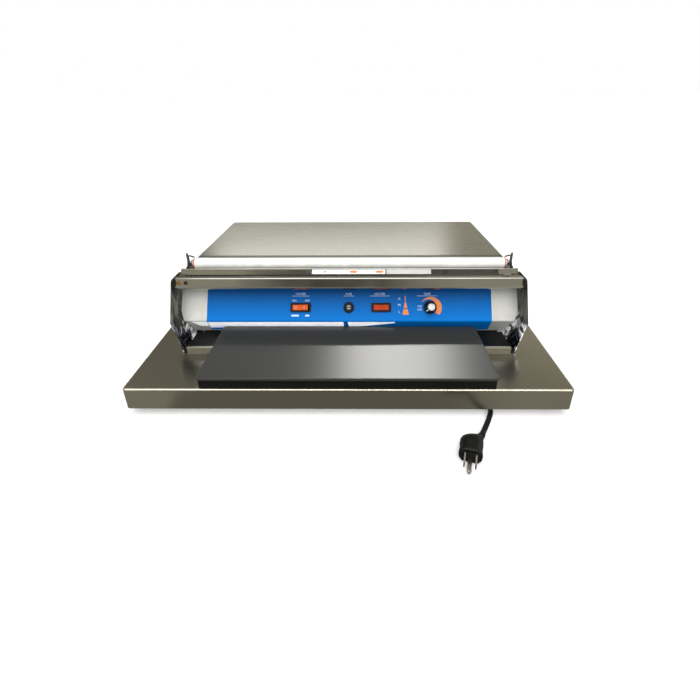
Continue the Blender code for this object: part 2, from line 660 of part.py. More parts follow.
def make_cutter(mats):
    bm = bmesh.new()
    outline = arc(BAR_LIP[:2], BAR_LIP[2], 270.0, 135.0, 4) + arc(BAR_CROWN[:2], BAR_CROWN[2], 135.0, 90.0, 3)
    outline += [(BAR_BACK, BAR_CROWN[1] + BAR_CROWN[2]), (BAR_BACK, BAR_UNDERSIDE)]
    add_prism(bm, outline, "x", -WALL_HALF_WIDTH, WALL_HALF_WIDTH)
    bar = add_object("front_bar", bm, mats["steel"])

    screws = (("bar_terminal_screw", TERMINAL_SCREW_X, "brass"), ("bar_end_plug", END_PLUG_X, "black"))
    for name, x, finish in screws:
        bm = bmesh.new()
        add_turned(bm, [(1.9, -5.0), (1.9, 3.0)], "z", (0, 0, 0), 12)
        boolean(bar, add_local("cut_" + name, bm, None, bar_face(x), False), "DIFFERENCE")
        bm = bmesh.new()
        head = [(0.0, -4.6), (1.5, -4.6), (1.5, GAP), (2.7, GAP), (2.7, 1.2), (2.0, 1.8), (0.0, 1.8)]
        add_turned(bm, head, "z", (0, 0, 0), 14)
        add_local(name, bm, mats[finish], bar_face(x))

    bm = bmesh.new()
    path = [(CHANNEL_BACK, 137.2), (CHANNEL_BACK, CHANNEL_FLOOR), (BAR_BACK + GAP, CHANNEL_FLOOR),
            (BAR_BACK + GAP, 140.6)]
    add_prism(bm, sheet_outline(rounded(path, 1.4), -SHEET), "x", -WALL_HALF_WIDTH, WALL_HALF_WIDTH)
    add_object("cutter_channel", bm, mats["steel"])

    for side, sign in (("left", -1), ("right", 1)):
        bm = bmesh.new()
        low, high = sorted((sign * 244.0, sign * 254.0))
        add_box(bm, (low, WIRE_Y - 4.0, CHANNEL_FLOOR + SHEET + GAP), (high, WIRE_Y + 4.0, WIRE_Z + 2.4))
        block = add_object("cutter_insulator_" + side, bm, mats["white"], smooth=False)
        bevelled(block, 0.5, 1)

    bm = bmesh.new()
    add_turned(bm, [(0.0, -243.7), (0.6, -243.7), (0.6, SPRING_START), (0.0, SPRING_START)], "x",
               (0.0, WIRE_Y, WIRE_Z), 8)
    add_object("cutter_wire", bm, mats["steel"])

    turns, per_turn = 6, 8
    spline_points = []
    for i in range(turns * per_turn + 1):
        angle = 2 * pi * i / per_turn
        x = SPRING_START + GAP + 0.9 + 10.2 * i / (turns * per_turn)
        spline_points.append((x, WIRE_Y + 2.0 * cos(angle), WIRE_Z + 2.0 * sin(angle)))
    add_tube("cutter_spring", spline_points, 0.45, mats["steel"], 1)

    bm = bmesh.new()
    path = [STRIP_FOOT, STRIP_EDGE, (159.8, STRIP_EDGE[1]), (163.0, SHELF_Z), (PARTITION_Y + 1.0, SHELF_Z)]
    add_prism(bm, sheet_outline(rounded(path, 0.8, 2), -SHEET), "x", -WALL_HALF_WIDTH, WALL_HALF_WIDTH)
    strip = add_object("cutter_strip", bm, mats["steel"])
    notches = []
    for sign in (-1, 1):
        inner, outer = sorted((sign * (BRACKET_X - 1.5), sign * (WALL_HALF_WIDTH + 2.0)))
        notches.append(((inner, BRACKET_FRONT - 1.5, SHELF_Z - 5.0), (outer, PARTITION_Y + 3.0, SHELF_Z + 5.0)))
    boolean(strip, box_tool("cut_strip_notches", notches), "DIFFERENCE")

    length = hypot(STRIP_EDGE[0] - STRIP_FOOT[0], STRIP_EDGE[1] - STRIP_FOOT[1])
    bm = bmesh.new()
    add_prism(bm, rounded_rectangle(-LABEL_HALF_WIDTH, -3.6, LABEL_HALF_WIDTH, 3.6, 0.8, 2), "z", GAP, GAP + 0.4)
    add_local("caution_label", bm, mats["white"], tilted_frame(0.0, STRIP_FOOT, STRIP_EDGE, length / 2 - 0.3))


# ---------------------------------------------------------------- guide roller

def make_guide_roller(mats):
    centre = (0.0, ROLLER_Y, ROLLER_Z)
    half = ROLLER_HALF_LENGTH
    bm = bmesh.new()
    tube = [(6.2, -half), (ROLLER_RADIUS - 0.6, -half), (ROLLER_RADIUS, -half + 0.6), (ROLLER_RADIUS, half - 0.6),
            (ROLLER_RADIUS - 0.6, half), (6.2, half)]
    add_turned(bm, tube, "x", centre, 28, closed=True)
    add_object("guide_roller", bm, mats["white"], centre)

    for side, sign in (("left", -1), ("right", 1)):
        bm = bmesh.new()
        ring = [(3.3, half - 8), (5.9, half - 8), (5.9, half + GAP), (8.2, half + GAP), (8.2, half + 3.4),
                (7.4, half + 4.2), (3.3, half + 4.2)]
        add_turned(bm, [(r, sign * x) for r, x in ring], "x", centre, 24, closed=True)
        add_object("roller_ring_" + side, bm, mats["red"], centre)

    bm = bmesh.new()
    add_turned(bm, [(0.0, -252.5), (2.4, -252.5), (AXLE_RADIUS, -252.0), (AXLE_RADIUS, 252.0), (2.4, 252.5),
                    (0.0, 252.5)], "x", centre, 16)
    add_object("guide_roller_axle", bm, mats["steel"])

    seat = AXLE_RADIUS + GAP
    outline = [(BRACKET_FRONT, 136.0), (BRACKET_REAR, 136.0), (BRACKET_REAR, 149.0), (ROLLER_Y + seat, 149.0)]
    outline += arc((ROLLER_Y, ROLLER_Z), seat, 0.0, -180.0, 8)
    outline += [(ROLLER_Y - seat, 156.0), (BRACKET_FRONT + 3.0, BRACKET_TOP), (BRACKET_FRONT, BRACKET_TOP)]
    for side, sign in (("left", -1), ("right", 1)):
        bm = bmesh.new()
        add_prism(bm, outline, "x", *sorted((sign * BRACKET_X, sign * (BRACKET_X + 2.0))))
        bracket = add_object("roller_bracket_" + side, bm, mats["steel"])
        inner, outer = sorted((sign * (BRACKET_X + 1.0), sign * WALL_HALF_WIDTH))
        wing = ((inner, 184.5, 136.2), (outer, 186.3, 145.0))
        boolean(bracket, box_tool("join_bracket_" + side, [wing]), "UNION")


# ---------------------------------------------------------------- table

def make_table(mats):
    bm = bmesh.new()
    path = [(TABLE_FRONT[0], TABLE_FRONT[1] - 6.0), TABLE_FRONT, TABLE_REAR, (TABLE_REAR[0], 108.0)]
    add_prism(bm, sheet_outline(rounded(path, 2.2), -TABLE_SHEET), "x", -TABLE_HALF_WIDTH, TABLE_HALF_WIDTH)
    table = add_object("table_top", bm, mats["steel"], (0.0, *PIVOT))
    inset = 0.7
    front, rear = 230.2, TABLE_REAR[0] - inset
    flange = [(front, table_height(front) - inset), (rear, table_height(rear) - inset), (rear, 110.0), (433.0, 110.0),
              (428.0, 121.0), (front, table_height(front) - 9.0)]
    for side, sign in (("left", -1), ("right", 1)):
        bm = bmesh.new()
        add_prism(bm, flange, "x", *sorted((sign * (TABLE_HALF_WIDTH - 0.2), sign * (TABLE_HALF_WIDTH - 1.7))))
        boolean(table, add_object("join_table_" + side, bm, None, smooth=False), "UNION")
    holes = [((0.0, *PIVOT), 3.4, -270.0, 270.0)]
    boolean(table, drill_tool("cut_table_pivots", "x", holes), "DIFFERENCE")

    for side, sign in (("left", -1), ("right", 1)):
        pin = [(0.0, 248.0), (4.6, 248.0), (4.6, 251.6), (3.0, 251.6), (3.0, 257.3), (5.2, 257.3), (5.2, 259.0),
               (4.2, 259.8), (0.0, 259.8)]
        bm = bmesh.new()
        add_turned(bm, [(r, sign * x) for r, x in pin], "x", (0.0, *PIVOT), 16)
        add_object("table_pivot_" + side, bm, mats["steel"])


# ---------------------------------------------------------------- film cradle

def make_cradle(mats):
    low = APRON_BOTTOM + BASE_SHEET + GAP
    for side, sign in (("left", -1), ("right", 1)):
        bm = bmesh.new()
        inner, outer = sorted((sign * 232.4, sign * 234.4))
        add_box(bm, (inner, CRADLE_YS[0] - 17.0, low), (outer, CRADLE_YS[1] + 17.0, 42.0))
        bracket = add_object("cradle_bracket_" + side, bm, mats["steel"])
        holes = [((0.0, y, CRADLE_Z), JOURNAL_RADIUS + GAP, *sorted((sign * 228.0, sign * 238.0))) for y in CRADLE_YS]
        boolean(bracket, drill_tool("cut_cradle_" + side, "x", holes), "DIFFERENCE")

    for name, y in zip(("front", "rear"), CRADLE_YS):
        centre = (0.0, y, CRADLE_Z)
        bm = bmesh.new()
        roller = [(0.0, -236.5), (JOURNAL_RADIUS, -236.5), (JOURNAL_RADIUS, -230.0), (CRADLE_RADIUS, -230.0),
                  (CRADLE_RADIUS, 230.0), (JOURNAL_RADIUS, 230.0), (JOURNAL_RADIUS, 236.5), (0.0, 236.5)]
        add_turned(bm, roller, "x", centre, 24)
        add_object("cradle_roller_" + name, bm, mats["steel"], centre)


# ---------------------------------------------------------------- hot plate

def make_hot_plate(mats):
    half = PLATE_WIDTH / 2
    underside = PLATE_TOP - PLATE_THICKNESS
    bm = bmesh.new()
    add_prism(bm, rounded_rectangle(-half, PLATE_FRONT, half, PLATE_REAR, 3.0, 4), "z", underside, PLATE_TOP)
    cover = add_object("hot_plate_cover", bm, mats["coating"])
    bevelled(cover, 1.0, 2)

    tray_floor = DECK_TOP + GAP
    bm = bmesh.new()
    add_box(bm, (-TRAY_HALF_WIDTH, TRAY_FRONT, tray_floor), (TRAY_HALF_WIDTH, TRAY_REAR, underside - GAP))
    tray = add_object("hot_plate_tray", bm, mats["black"], smooth=False)
    inside = ((-TRAY_HALF_WIDTH + SHEET, TRAY_FRONT + SHEET, tray_floor + SHEET),
              (TRAY_HALF_WIDTH - SHEET, TRAY_REAR - SHEET, underside + 5.0))
    boolean(tray, box_tool("cut_tray", [inside]), "DIFFERENCE")
    cable = [((186.0, TRAY_REAR - 9.0, tray_floor + 3.0), (TRAY_HALF_WIDTH - 3.0, TRAY_REAR + 3.0, tray_floor + 9.0))]
    boolean(tray, box_tool("cut_tray_cable", cable), "DIFFERENCE")

    layer_x, layer_y0, layer_y1 = TRAY_HALF_WIDTH - 8.0, 8.0, TRAY_REAR - 6.0
    bm = bmesh.new()
    add_box(bm, (-layer_x, layer_y0, underside - GAP - 2.0), (layer_x, layer_y1, underside - GAP))
    add_object("heater_mat", bm, mats["mat"], smooth=False)
    board_top = underside - 2 * GAP - 2.0
    bm = bmesh.new()
    add_box(bm, (-layer_x, layer_y0, tray_floor + SHEET + GAP), (layer_x, layer_y1, board_top))
    add_object("insulation_board", bm, mats["board"], smooth=False)


# ---------------------------------------------------------------- electrical compartment

def make_electrics(mats):
    floor = DECK_TOP + GAP
    x, y = TRANSFORMER
    bm = bmesh.new()
    add_box(bm, (x - 27.0, y - 13.0, floor + 2.0), (x + 27.0, y + 13.0, floor + 46.0))
    core = add_object("transformer_core", bm, mats["core"], smooth=False)
    windows = [((x + sign * 13.5 - 5.0, y - 20.0, floor + 10.0), (x + sign * 13.5 + 5.0, y + 20.0, floor + 38.0))
               for sign in (-1, 1)]
    boolean(core, box_tool("cut_core_windows", windows), "DIFFERENCE")
    feet = [((x + sign * 22.0 - 15.0, y - 12.0, floor), (x + sign * 22.0 + 15.0, y + 12.0, floor + 3.5))
            for sign in (-1, 1)]
    boolean(core, box_tool("join_core_feet", feet), "UNION")

    bm = bmesh.new()
    add_prism(bm, rounded_rectangle(x - 18.0, y - 19.0, x + 18.0, y + 19.0, 2.0, 2), "z", floor + 10.5, floor + 37.5)
    coil = add_object("transformer_coil", bm, mats["copper"])
    limb = ((x - 8.5 - GAP, y - 13.0 - GAP, floor), (x + 8.5 + GAP, y + 13.0 + GAP, floor + 50.0))
    boolean(coil, box_tool("cut_coil_limb", [limb]), "DIFFERENCE")

    x, y = TERMINALS
    bm = bmesh.new()
    add_box(bm, (x - 18.0, y - 10.0, floor), (x + 18.0, y + 10.0, floor + 14.0))
    block = add_object("terminal_block", bm, mats["white"], smooth=False)
    wells = [((x + pitch, y, 0.0), 2.4, floor + 7.0, floor + 20.0) for pitch in (-12.0, -4.0, 4.0, 12.0)]
    boolean(block, drill_tool("cut_terminals", "z", wells), "DIFFERENCE")


# ---------------------------------------------------------------- mains cord

def smooth_curve(points, per_span):
    """Points on the smooth (Catmull-Rom) curve through a route."""
    route = [Vector(p) for p in points]
    route = [2 * route[0] - route[1]] + route + [2 * route[-1] - route[-2]]
    result = []
    for a, b, c, d in zip(route, route[1:], route[2:], route[3:]):
        for i in range(per_span):
            t = i / per_span
            result.append(0.5 * (2 * b + (c - a) * t + (2 * a - 5 * b + 4 * c - d) * t ** 2
                                 + (3 * b - a - 3 * c + d) * t ** 3))
    result.append(route[-2])
    return [tuple(p) for p in result]


def add_tube(name, points, radius, finish, resolution):
    curve = bpy.data.curves.new(name, "CURVE")
    curve.dimensions = "3D"
    curve.bevel_depth = radius * MM
    curve.bevel_resolution = resolution
    curve.use_fill_caps = True
    spline = curve.splines.new("POLY")
    spline.points.add(len(points) - 1)
    for place, point in zip(spline.points, points):
        place.co = (*world(*point), 1.0)
    curve.materials.append(finish)
    made = bpy.data.objects.new(name, curve)
    bpy.context.scene.collection.objects.link(made)
    return made


def make_cord(mats):
    x, y, z = GLAND
    bm = bmesh.new()
    gland = [(3.8, -9.0), (7.9, -9.0), (7.9, GAP), (11.0, GAP), (11.0, 4.5), (8.6, 6.0), (6.2, 16.0), (5.0, 30.0),
             (3.8, 30.0)]
    add_turned(bm, gland, "y", (x, y, z), 20, closed=True)
    add_object("strain_relief", bm, mats["rubber"])

    add_tube("power_cord_lead", smooth_curve(CORD_TO_COIL, 3), CORD_RADIUS, mats["rubber"], 2)
    bm = bmesh.new()
    middle = (COIL_INNER_RADIUS + COIL_OUTER_RADIUS) / 2
    ring = [(COIL_INNER_RADIUS, 2.0), (COIL_INNER_RADIUS + 2, 0.2), (COIL_OUTER_RADIUS - 2, 0.2),
            (COIL_OUTER_RADIUS, 2.0), (COIL_OUTER_RADIUS, COIL_HEIGHT - 2), (COIL_OUTER_RADIUS - 2, COIL_HEIGHT),
            (middle, COIL_HEIGHT), (COIL_INNER_RADIUS + 2, COIL_HEIGHT), (COIL_INNER_RADIUS, COIL_HEIGHT - 2)]
    add_turned(bm, ring, "z", (*COIL_CENTRE, 0.0), 36, closed=True)
    add_object("power_cord_coil", bm, mats["rubber"])
    add_tube("power_cord", smooth_curve(CORD_TO_PLUG, 4), CORD_RADIUS, mats["rubber"], 2)

    make_plug(mats)


def plug_frame():
    """The plug's frame: z runs from the cord's end towards the pins, x across, y up."""
    forward = Vector((-sin(radians(PLUG_TURN)), -cos(radians(PLUG_TURN)), 0.0))
    up = Vector((0.0, 0.0, 1.0))
    turn = Matrix((up.cross(forward), up, forward)).transposed()
    return Matrix.Translation(world(*PLUG_BACK)) @ turn.to_4x4()


def make_plug(mats):
    bm = bmesh.new()
    rings = []
    for half_width, half_height, along, shift in PLUG_STEPS:
        ring = []
        for i in range(PLUG_SEGMENTS):
            angle = 2 * pi * i / PLUG_SEGMENTS
            c, s = cos(angle), sin(angle)
            x = half_width * abs(c) ** PLUG_SQUARENESS * (1 if c > 0 else -1)
            y = half_height * abs(s) ** PLUG_SQUARENESS * (1 if s > 0 else -1)
            ring.append(bm.verts.new((shift + x, y, along)))
        rings.append(ring)
    bm.faces.new(rings[0])
    bm.faces.new(rings[-1])
    for lower, upper in zip(rings, rings[1:]):
        for i in range(PLUG_SEGMENTS):
            j = (i + 1) % PLUG_SEGMENTS
            bm.faces.new((lower[i], lower[j], upper[j], upper[i]))
    bmesh.ops.recalc_face_normals(bm, faces=bm.faces)
    add_local("plug_body", bm, mats["rubber"], plug_frame())

    end, middle = PLUG_STEPS[-1][2], PLUG_STEPS[-1][3]
    pin_frame = plug_frame() @ Matrix.Translation(Vector((middle, 0.0, end)) * MM)
    bm = bmesh.new()
    add_prism(bm, rounded_rectangle(-10.5, -7.5, 10.5, 7.5, 3.0, 3), "z", GAP, GAP + 1.2)
    pins = add_local("plug_pins", bm, mats["brass"], pin_frame)
    bm = bmesh.new()
    for x in (-6.35, 6.35):
        add_box(bm, (x - 0.8, 0.0, 1.0), (x + 0.8, 6.4, 17.0))
    add_turned(bm, [(0.0, 1.0), (2.4, 1.0), (2.4, 18.0), (1.2, 20.0), (0.0, 20.0)], "z", (0.0, -4.6, 0.0), 12)
    boolean(pins, add_local("join_plug_pins", bm, None, pin_frame, False), "UNION")


def main():
    for old in list(bpy.data.objects):
        bpy.data.objects.remove(old, do_unlink=True)
    mats = make_materials()
    make_base(mats)
    make_side_plates(mats)
    make_front_rail(mats)
    make_walls(mats)
    make_control_panel(mats)
    make_rocker(mats)
    make_lamp(mats)
    make_fuse(mats)
    make_thermostat(mats)
    make_cutter(mats)
    make_guide_roller(mats)
    make_table(mats)
    make_cradle(mats)
    make_hot_plate(mats)
    make_electrics(mats)
    make_cord(mats)


main()
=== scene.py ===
"""The looks of the stretch-film tray wrapper: studio, materials, mains cord and fine pieces."""

import json
from math import cos, pi, radians, sin

import bmesh
import bpy
from mathutils import Matrix, Vector

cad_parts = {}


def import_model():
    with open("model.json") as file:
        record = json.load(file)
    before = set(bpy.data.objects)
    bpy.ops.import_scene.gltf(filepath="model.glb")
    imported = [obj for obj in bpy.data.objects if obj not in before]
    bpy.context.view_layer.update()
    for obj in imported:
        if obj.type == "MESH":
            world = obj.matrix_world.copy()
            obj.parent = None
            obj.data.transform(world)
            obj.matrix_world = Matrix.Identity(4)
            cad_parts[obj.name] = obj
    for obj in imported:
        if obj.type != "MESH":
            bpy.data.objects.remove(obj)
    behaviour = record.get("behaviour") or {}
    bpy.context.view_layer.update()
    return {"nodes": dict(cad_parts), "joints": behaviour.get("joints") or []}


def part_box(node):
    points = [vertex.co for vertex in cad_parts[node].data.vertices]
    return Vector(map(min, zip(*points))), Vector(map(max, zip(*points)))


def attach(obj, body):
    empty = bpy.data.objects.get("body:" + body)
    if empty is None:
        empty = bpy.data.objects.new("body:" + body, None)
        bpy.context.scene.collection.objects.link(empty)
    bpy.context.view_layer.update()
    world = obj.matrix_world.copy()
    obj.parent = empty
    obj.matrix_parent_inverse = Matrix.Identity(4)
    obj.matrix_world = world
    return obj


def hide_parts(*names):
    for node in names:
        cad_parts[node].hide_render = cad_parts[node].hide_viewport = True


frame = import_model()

MM = 0.001
NODES = frame["nodes"]
JOINTS = {joint["name"]: joint for joint in frame["joints"]}


# ---------------------------------------------------------------- frames, in metres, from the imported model

ACROSS = Vector((1.0, 0.0, 0.0))
UP = Vector((0.0, 0.0, 1.0))
PANEL_OUT = -Vector(JOINTS["knob_turn"]["axis"])
PANEL_UP = PANEL_OUT.cross(ACROSS)
FACE = 1.1                          # the overlay's outer face, in mm above the sheet that the joints lie on
BASE_DEPTH = 470.0                  # the base tray from front to rear, in mm
PLUG_BACK = (164.8, -39.6, 9.9)     # the middle of the plug's cord end, in mm
PLUG_TURN = radians(17.0)
PLUG_LENGTH = 38.0                  # from the plug's cord end to its face, in mm
PLUG_FORWARD = Vector((-sin(PLUG_TURN), -cos(PLUG_TURN), 0.0))


def world(x, y, z):
    """A place given in mm, with y from the base's front edge."""
    return Vector((x, y - BASE_DEPTH / 2, z)) * MM


def joint_place(name):
    return Vector(JOINTS[name]["pos_m"])


def oriented(place, across, up):
    """A frame at a place, with x across, y up and z out of the face."""
    turn = Matrix((across, up, across.cross(up))).transposed()
    return Matrix.Translation(place) @ turn.to_4x4()


def panel_frame(x, up=0.0):
    """The panel's frame at a width x, in mm, and up the slope from the row of controls."""
    place = joint_place("fuse_cap_turn") + ACROSS * x * MM + PANEL_UP * up * MM
    return oriented(place, ACROSS, PANEL_UP)


def plug_frame():
    """The plug's frame: z runs from the cord's end towards the pins, x across, y up."""
    return oriented(world(*PLUG_BACK), UP.cross(PLUG_FORWARD), UP)


# ---------------------------------------------------------------- shader nodes

def maths(tree, operation, *values):
    """A maths node on sockets or plain numbers."""
    node = tree.nodes.new("ShaderNodeMath")
    node.operation = operation
    for socket, value in zip(node.inputs, values):
        if isinstance(value, float):
            socket.default_value = value
        else:
            tree.links.new(value, socket)
    return node.outputs["Value"]


def ramp(tree, source, start, end, low, high, interpolation="SMOOTHSTEP"):
    """A value that runs from low to high as the source runs from start to end."""
    node = tree.nodes.new("ShaderNodeMapRange")
    node.interpolation_type = interpolation
    for name, number in (("From Min", start), ("From Max", end), ("To Min", low), ("To Max", high)):
        node.inputs[name].default_value = number
    tree.links.new(source, node.inputs["Value"])
    return node.outputs["Result"]


def place_axes(tree, space="Object"):
    """The x, y and z of a shaded point."""
    coords = tree.nodes.new("ShaderNodeTexCoord")
    split = tree.nodes.new("ShaderNodeSeparateXYZ")
    tree.links.new(coords.outputs[space], split.inputs["Vector"])
    return split.outputs


def source_of(tree, kind, colour, strength):
    """A background or an emission. Its strength is a number or a socket."""
    node = tree.nodes.new(kind)
    node.inputs["Color"].default_value = (*colour, 1.0)
    if isinstance(strength, float):
        node.inputs["Strength"].default_value = strength
    else:
        tree.links.new(strength, node.inputs["Strength"])
    return node.outputs[0]


def mixed(tree, share, first, second):
    """Two shaders mixed by a share: 0 gives the first and 1 the second."""
    mix = tree.nodes.new("ShaderNodeMixShader")
    for socket, source in zip(mix.inputs, (share, first, second)):
        tree.links.new(source, socket)
    return mix.outputs[0]


# ---------------------------------------------------------------- materials

STEEL = (0.60, 0.595, 0.56)
NICKEL = (0.66, 0.63, 0.56)
RUBBER_BLACK = (0.004, 0.004, 0.004)


def shader_of(finish):
    return finish.node_tree.nodes["Principled BSDF"]


def new_material(name, colour, roughness, metallic=0.0, **constants):
    finish = bpy.data.materials.new(name)
    finish.use_nodes = True
    shader = shader_of(finish)
    shader.inputs["Base Color"].default_value = (*colour, 1.0)
    shader.inputs["Roughness"].default_value = roughness
    shader.inputs["Metallic"].default_value = metallic
    for socket, value in constants.items():
        shader.inputs[socket.replace("_", " ")].default_value = value
    return finish


def noise(finish, scale, stretch=(1.0, 1.0, 1.0), detail=3.0, distortion=0.0):
    """A noise texture over the object's own metres, stretched along its axes."""
    tree = finish.node_tree
    coords = tree.nodes.new("ShaderNodeTexCoord")
    mapping = tree.nodes.new("ShaderNodeMapping")
    mapping.inputs["Scale"].default_value = stretch
    texture = tree.nodes.new("ShaderNodeTexNoise")
    texture.inputs["Scale"].default_value = scale
    texture.inputs["Detail"].default_value = detail
    texture.inputs["Distortion"].default_value = distortion
    tree.links.new(coords.outputs["Object"], mapping.inputs["Vector"])
    tree.links.new(mapping.outputs["Vector"], texture.inputs["Vector"])
    return texture.outputs["Fac"]


def remap(finish, source, low, high, start=0.35, end=0.65):
    """A straight ramp, by default over the middle of a noise."""
    return ramp(finish.node_tree, source, start, end, low, high, "LINEAR")


def along(finish, axis):
    """The object's own coordinate along an axis, in metres."""
    return place_axes(finish.node_tree)[axis]


def times(finish, first, second):
    return maths(finish.node_tree, "MULTIPLY", first, second)


def drive(finish, socket, source):
    """Lets a node's value set one of the shader's inputs."""
    finish.node_tree.links.new(source, shader_of(finish).inputs[socket])


def vary_roughness(finish, source, low, high):
    drive(finish, "Roughness", remap(finish, source, low, high))


def vary_colour(finish, source, first, second, start=0.35, end=0.65):
    """Mixes two colours. A second call mixes its second colour over what is there."""
    tree = finish.node_tree
    mix = tree.nodes.new("ShaderNodeMix")
    mix.data_type = "RGBA"
    socket = shader_of(finish).inputs["Base Color"]
    if socket.is_linked:
        tree.links.new(socket.links[0].from_socket, mix.inputs["A"])
    else:
        mix.inputs["A"].default_value = (*first, 1.0)
    mix.inputs["B"].default_value = (*second, 1.0)
    tree.links.new(remap(finish, source, 0.0, 1.0, start, end), mix.inputs["Factor"])
    tree.links.new(mix.outputs["Result"], socket)


def bump(finish, source, strength, distance):
    """Adds relief, in metres, on top of what is there."""
    tree = finish.node_tree
    node = tree.nodes.new("ShaderNodeBump")
    node.inputs["Strength"].default_value = strength
    node.inputs["Distance"].default_value = distance
    socket = shader_of(finish).inputs["Normal"]
    if socket.is_linked:
        tree.links.new(socket.links[0].from_socket, node.inputs["Normal"])
    tree.links.new(source, node.inputs["Height"])
    tree.links.new(node.outputs["Normal"], socket)


def scaled(colour, factor):
    return tuple(channel * factor for channel in colour)


def brushed_steel(name, colour, roughness):
    """Satin stainless sheet, with its grain across the machine."""
    finish = new_material(name, colour, roughness, 1.0)
    grain = noise(finish, 1500.0, (0.012, 1.0, 1.0), 3.0)
    vary_colour(finish, grain, scaled(colour, 0.97), scaled(colour, 1.03))
    vary_roughness(finish, grain, roughness * 0.96, roughness * 1.04)
    bump(finish, grain, 0.015, 0.00001)
    smudge = noise(finish, 9.0, detail=2.0)
    vary_colour(finish, smudge, colour, scaled(colour, 0.94), 0.5, 0.75)
    return finish


def steel_with_painted_hem_shade(name, colour, roughness):
    """Satin sheet with painted shade darkening its hemmed front edge."""
    finish = brushed_steel(name, colour, roughness)
    hem_edge, hem_end = -0.002, 0.001
    painted_hem_shade = remap(finish, along(finish, "Y"), 1.0, 0.0, hem_edge, hem_end)
    # painted shade: the last few millimetres of the front edge are darkened
    vary_colour(finish, painted_hem_shade, colour, scaled(colour, 0.38), 0.0, 1.0)
    return finish


def polished_steel(name, colour, roughness, wave):
    """Mirror stainless sheet: faint grain, fingermarks and the slow waves of rolled sheet."""
    finish = new_material(name, colour, roughness, 1.0)
    smudge = noise(finish, 14.0, detail=4.0, distortion=0.6)
    vary_colour(finish, smudge, colour, scaled(colour, 0.86), 0.4, 0.8)
    vary_roughness(finish, smudge, roughness, roughness * 1.8)
    bump(finish, noise(finish, 1400.0, (0.02, 1.0, 1.0), 2.0), 0.05, 0.00002)
    bump(finish, noise(finish, 7.0, detail=1.0), 1.0, wave)
    return finish


def deck_sheet(name, colour, roughness):
    """Satin sheet, worn duller down the skirt than on the deck."""
    finish = brushed_steel(name, colour, roughness)
    skirt_top, deck = 0.0405, 0.0425
    drive(finish, "Roughness", remap(finish, along(finish, "Z"), roughness + 0.08, roughness, skirt_top, deck))
    return finish


def filmed_steel_painted_light(name, colour, roughness, shade):
    """Polished sheet. The film left on its front end is creased and loose at the bottom. The front end is
    darkened by painted shade, the creases carry deeper painted shade, and white painted reflections lie on the
    loose bottom.
    """
    finish = polished_steel(name, colour, roughness, 0.0002)
    film_rear, steel_front = -0.105, -0.060
    tight_from, loose_to = 0.090, 0.078
    front = remap(finish, along(finish, "Y"), 1.0, 0.0, film_rear, steel_front)
    creases = noise(finish, 40.0, (1.0, 1.5, 0.7), detail=3.0, distortion=1.0)
    dark = times(finish, front, remap(finish, creases, 0.0, 1.0, 0.40, 0.56))
    # painted shade: the front end darkened by the shade factor
    vary_colour(finish, front, colour, scaled(colour, shade), 0.0, 1.0)
    # painted shade in the creases
    vary_colour(finish, dark, colour, scaled(colour, 0.09), 0.0, 1.0)
    loose = times(finish, remap(finish, along(finish, "Z"), 1.0, 0.0, loose_to, tight_from), front)
    crumple = noise(finish, 40.0, detail=2.0, distortion=1.6)
    # painted reflections: white patches on the loose, crumpled bottom
    white = times(finish, loose, remap(finish, crumple, 0.0, 1.0, 0.50, 0.60))
    vary_colour(finish, white, colour, (0.95, 0.95, 0.98), 0.0, 1.0)
    drive(finish, "Metallic", remap(finish, white, 1.0, 0.1, 0.0, 1.0))
    bump(finish, times(finish, front, creases), 1.0, 0.0030)
    bump(finish, times(finish, loose, crumple), 1.0, 0.0060)
    return finish


def coated_sheet(name, colour, roughness):
    """A non-stick coated cover sheet, stretched over the plate and lifting a little towards the rear."""
    finish = new_material(name, colour, roughness)
    weave = noise(finish, 2600.0, detail=1.0)
    vary_colour(finish, weave, scaled(colour, 0.9), scaled(colour, 1.1))
    bump(finish, weave, 0.08, 0.00001)
    front_slope, steepening = 0.132, 0.34
    depth = maths(finish.node_tree, "ADD", along(finish, "Y"), BASE_DEPTH / 2 * MM)
    slope = maths(finish.node_tree, "MULTIPLY_ADD", depth, steepening, front_slope)
    bump(finish, times(finish, depth, slope), 1.0, 1.0)
    return finish


def printed_film_with_painted_shadow(name, top, bottom, foot, crest):
    """A glossy printed overlay, going from one colour at its foot to another at its crest; the crest colour is
    painted shadow of the front bar above it.
    """
    finish = new_material(name, bottom, 0.3, Specular_IOR_Level=0.12)
    grain = noise(finish, 1800.0, detail=2.0)
    vary_roughness(finish, grain, 0.26, 0.34)
    bump(finish, grain, 0.2, 0.00001)
    # painted shadow: the colour darkens towards the crest, under the front bar
    vary_colour(finish, along(finish, "Z"), bottom, top, foot, crest)
    return finish


def moulded_plastic(name, colour, roughness, grain=0.00003, **constants):
    finish = new_material(name, colour, roughness, **constants)
    fine = noise(finish, 2600.0, detail=2.0)
    bump(finish, fine, 0.25, grain)
    wear = noise(finish, 60.0, detail=3.0)
    vary_roughness(finish, wear, roughness * 0.85, roughness * 1.2)
    vary_colour(finish, wear, colour, scaled(colour, 1.18), 0.45, 0.8)
    return finish


def plug_pin_finish():
    """Nickel pins in a black face, told apart by how far they stand out of the plug."""
    finish = new_material("plug pins", NICKEL, 0.28, 1.0)
    tree = finish.node_tree
    coords = tree.nodes.new("ShaderNodeTexCoord")
    reach = tree.nodes.new("ShaderNodeVectorMath")
    reach.operation = "DOT_PRODUCT"
    reach.inputs[1].default_value = PLUG_FORWARD
    tree.links.new(coords.outputs["Object"], reach.inputs[0])
    face = PLUG_FORWARD.dot(world(*PLUG_BACK)) + PLUG_LENGTH * MM
    black_to, metal_from = face + 1.8 * MM, face + 2.0 * MM
    inside = remap(finish, reach.outputs["Value"], 1.0, 0.0, black_to, metal_from)
    vary_colour(finish, inside, NICKEL, RUBBER_BLACK, 0.0, 1.0)
    drive(finish, "Metallic", remap(finish, inside, 1.0, 0.0, 0.0, 1.0))
    return finish


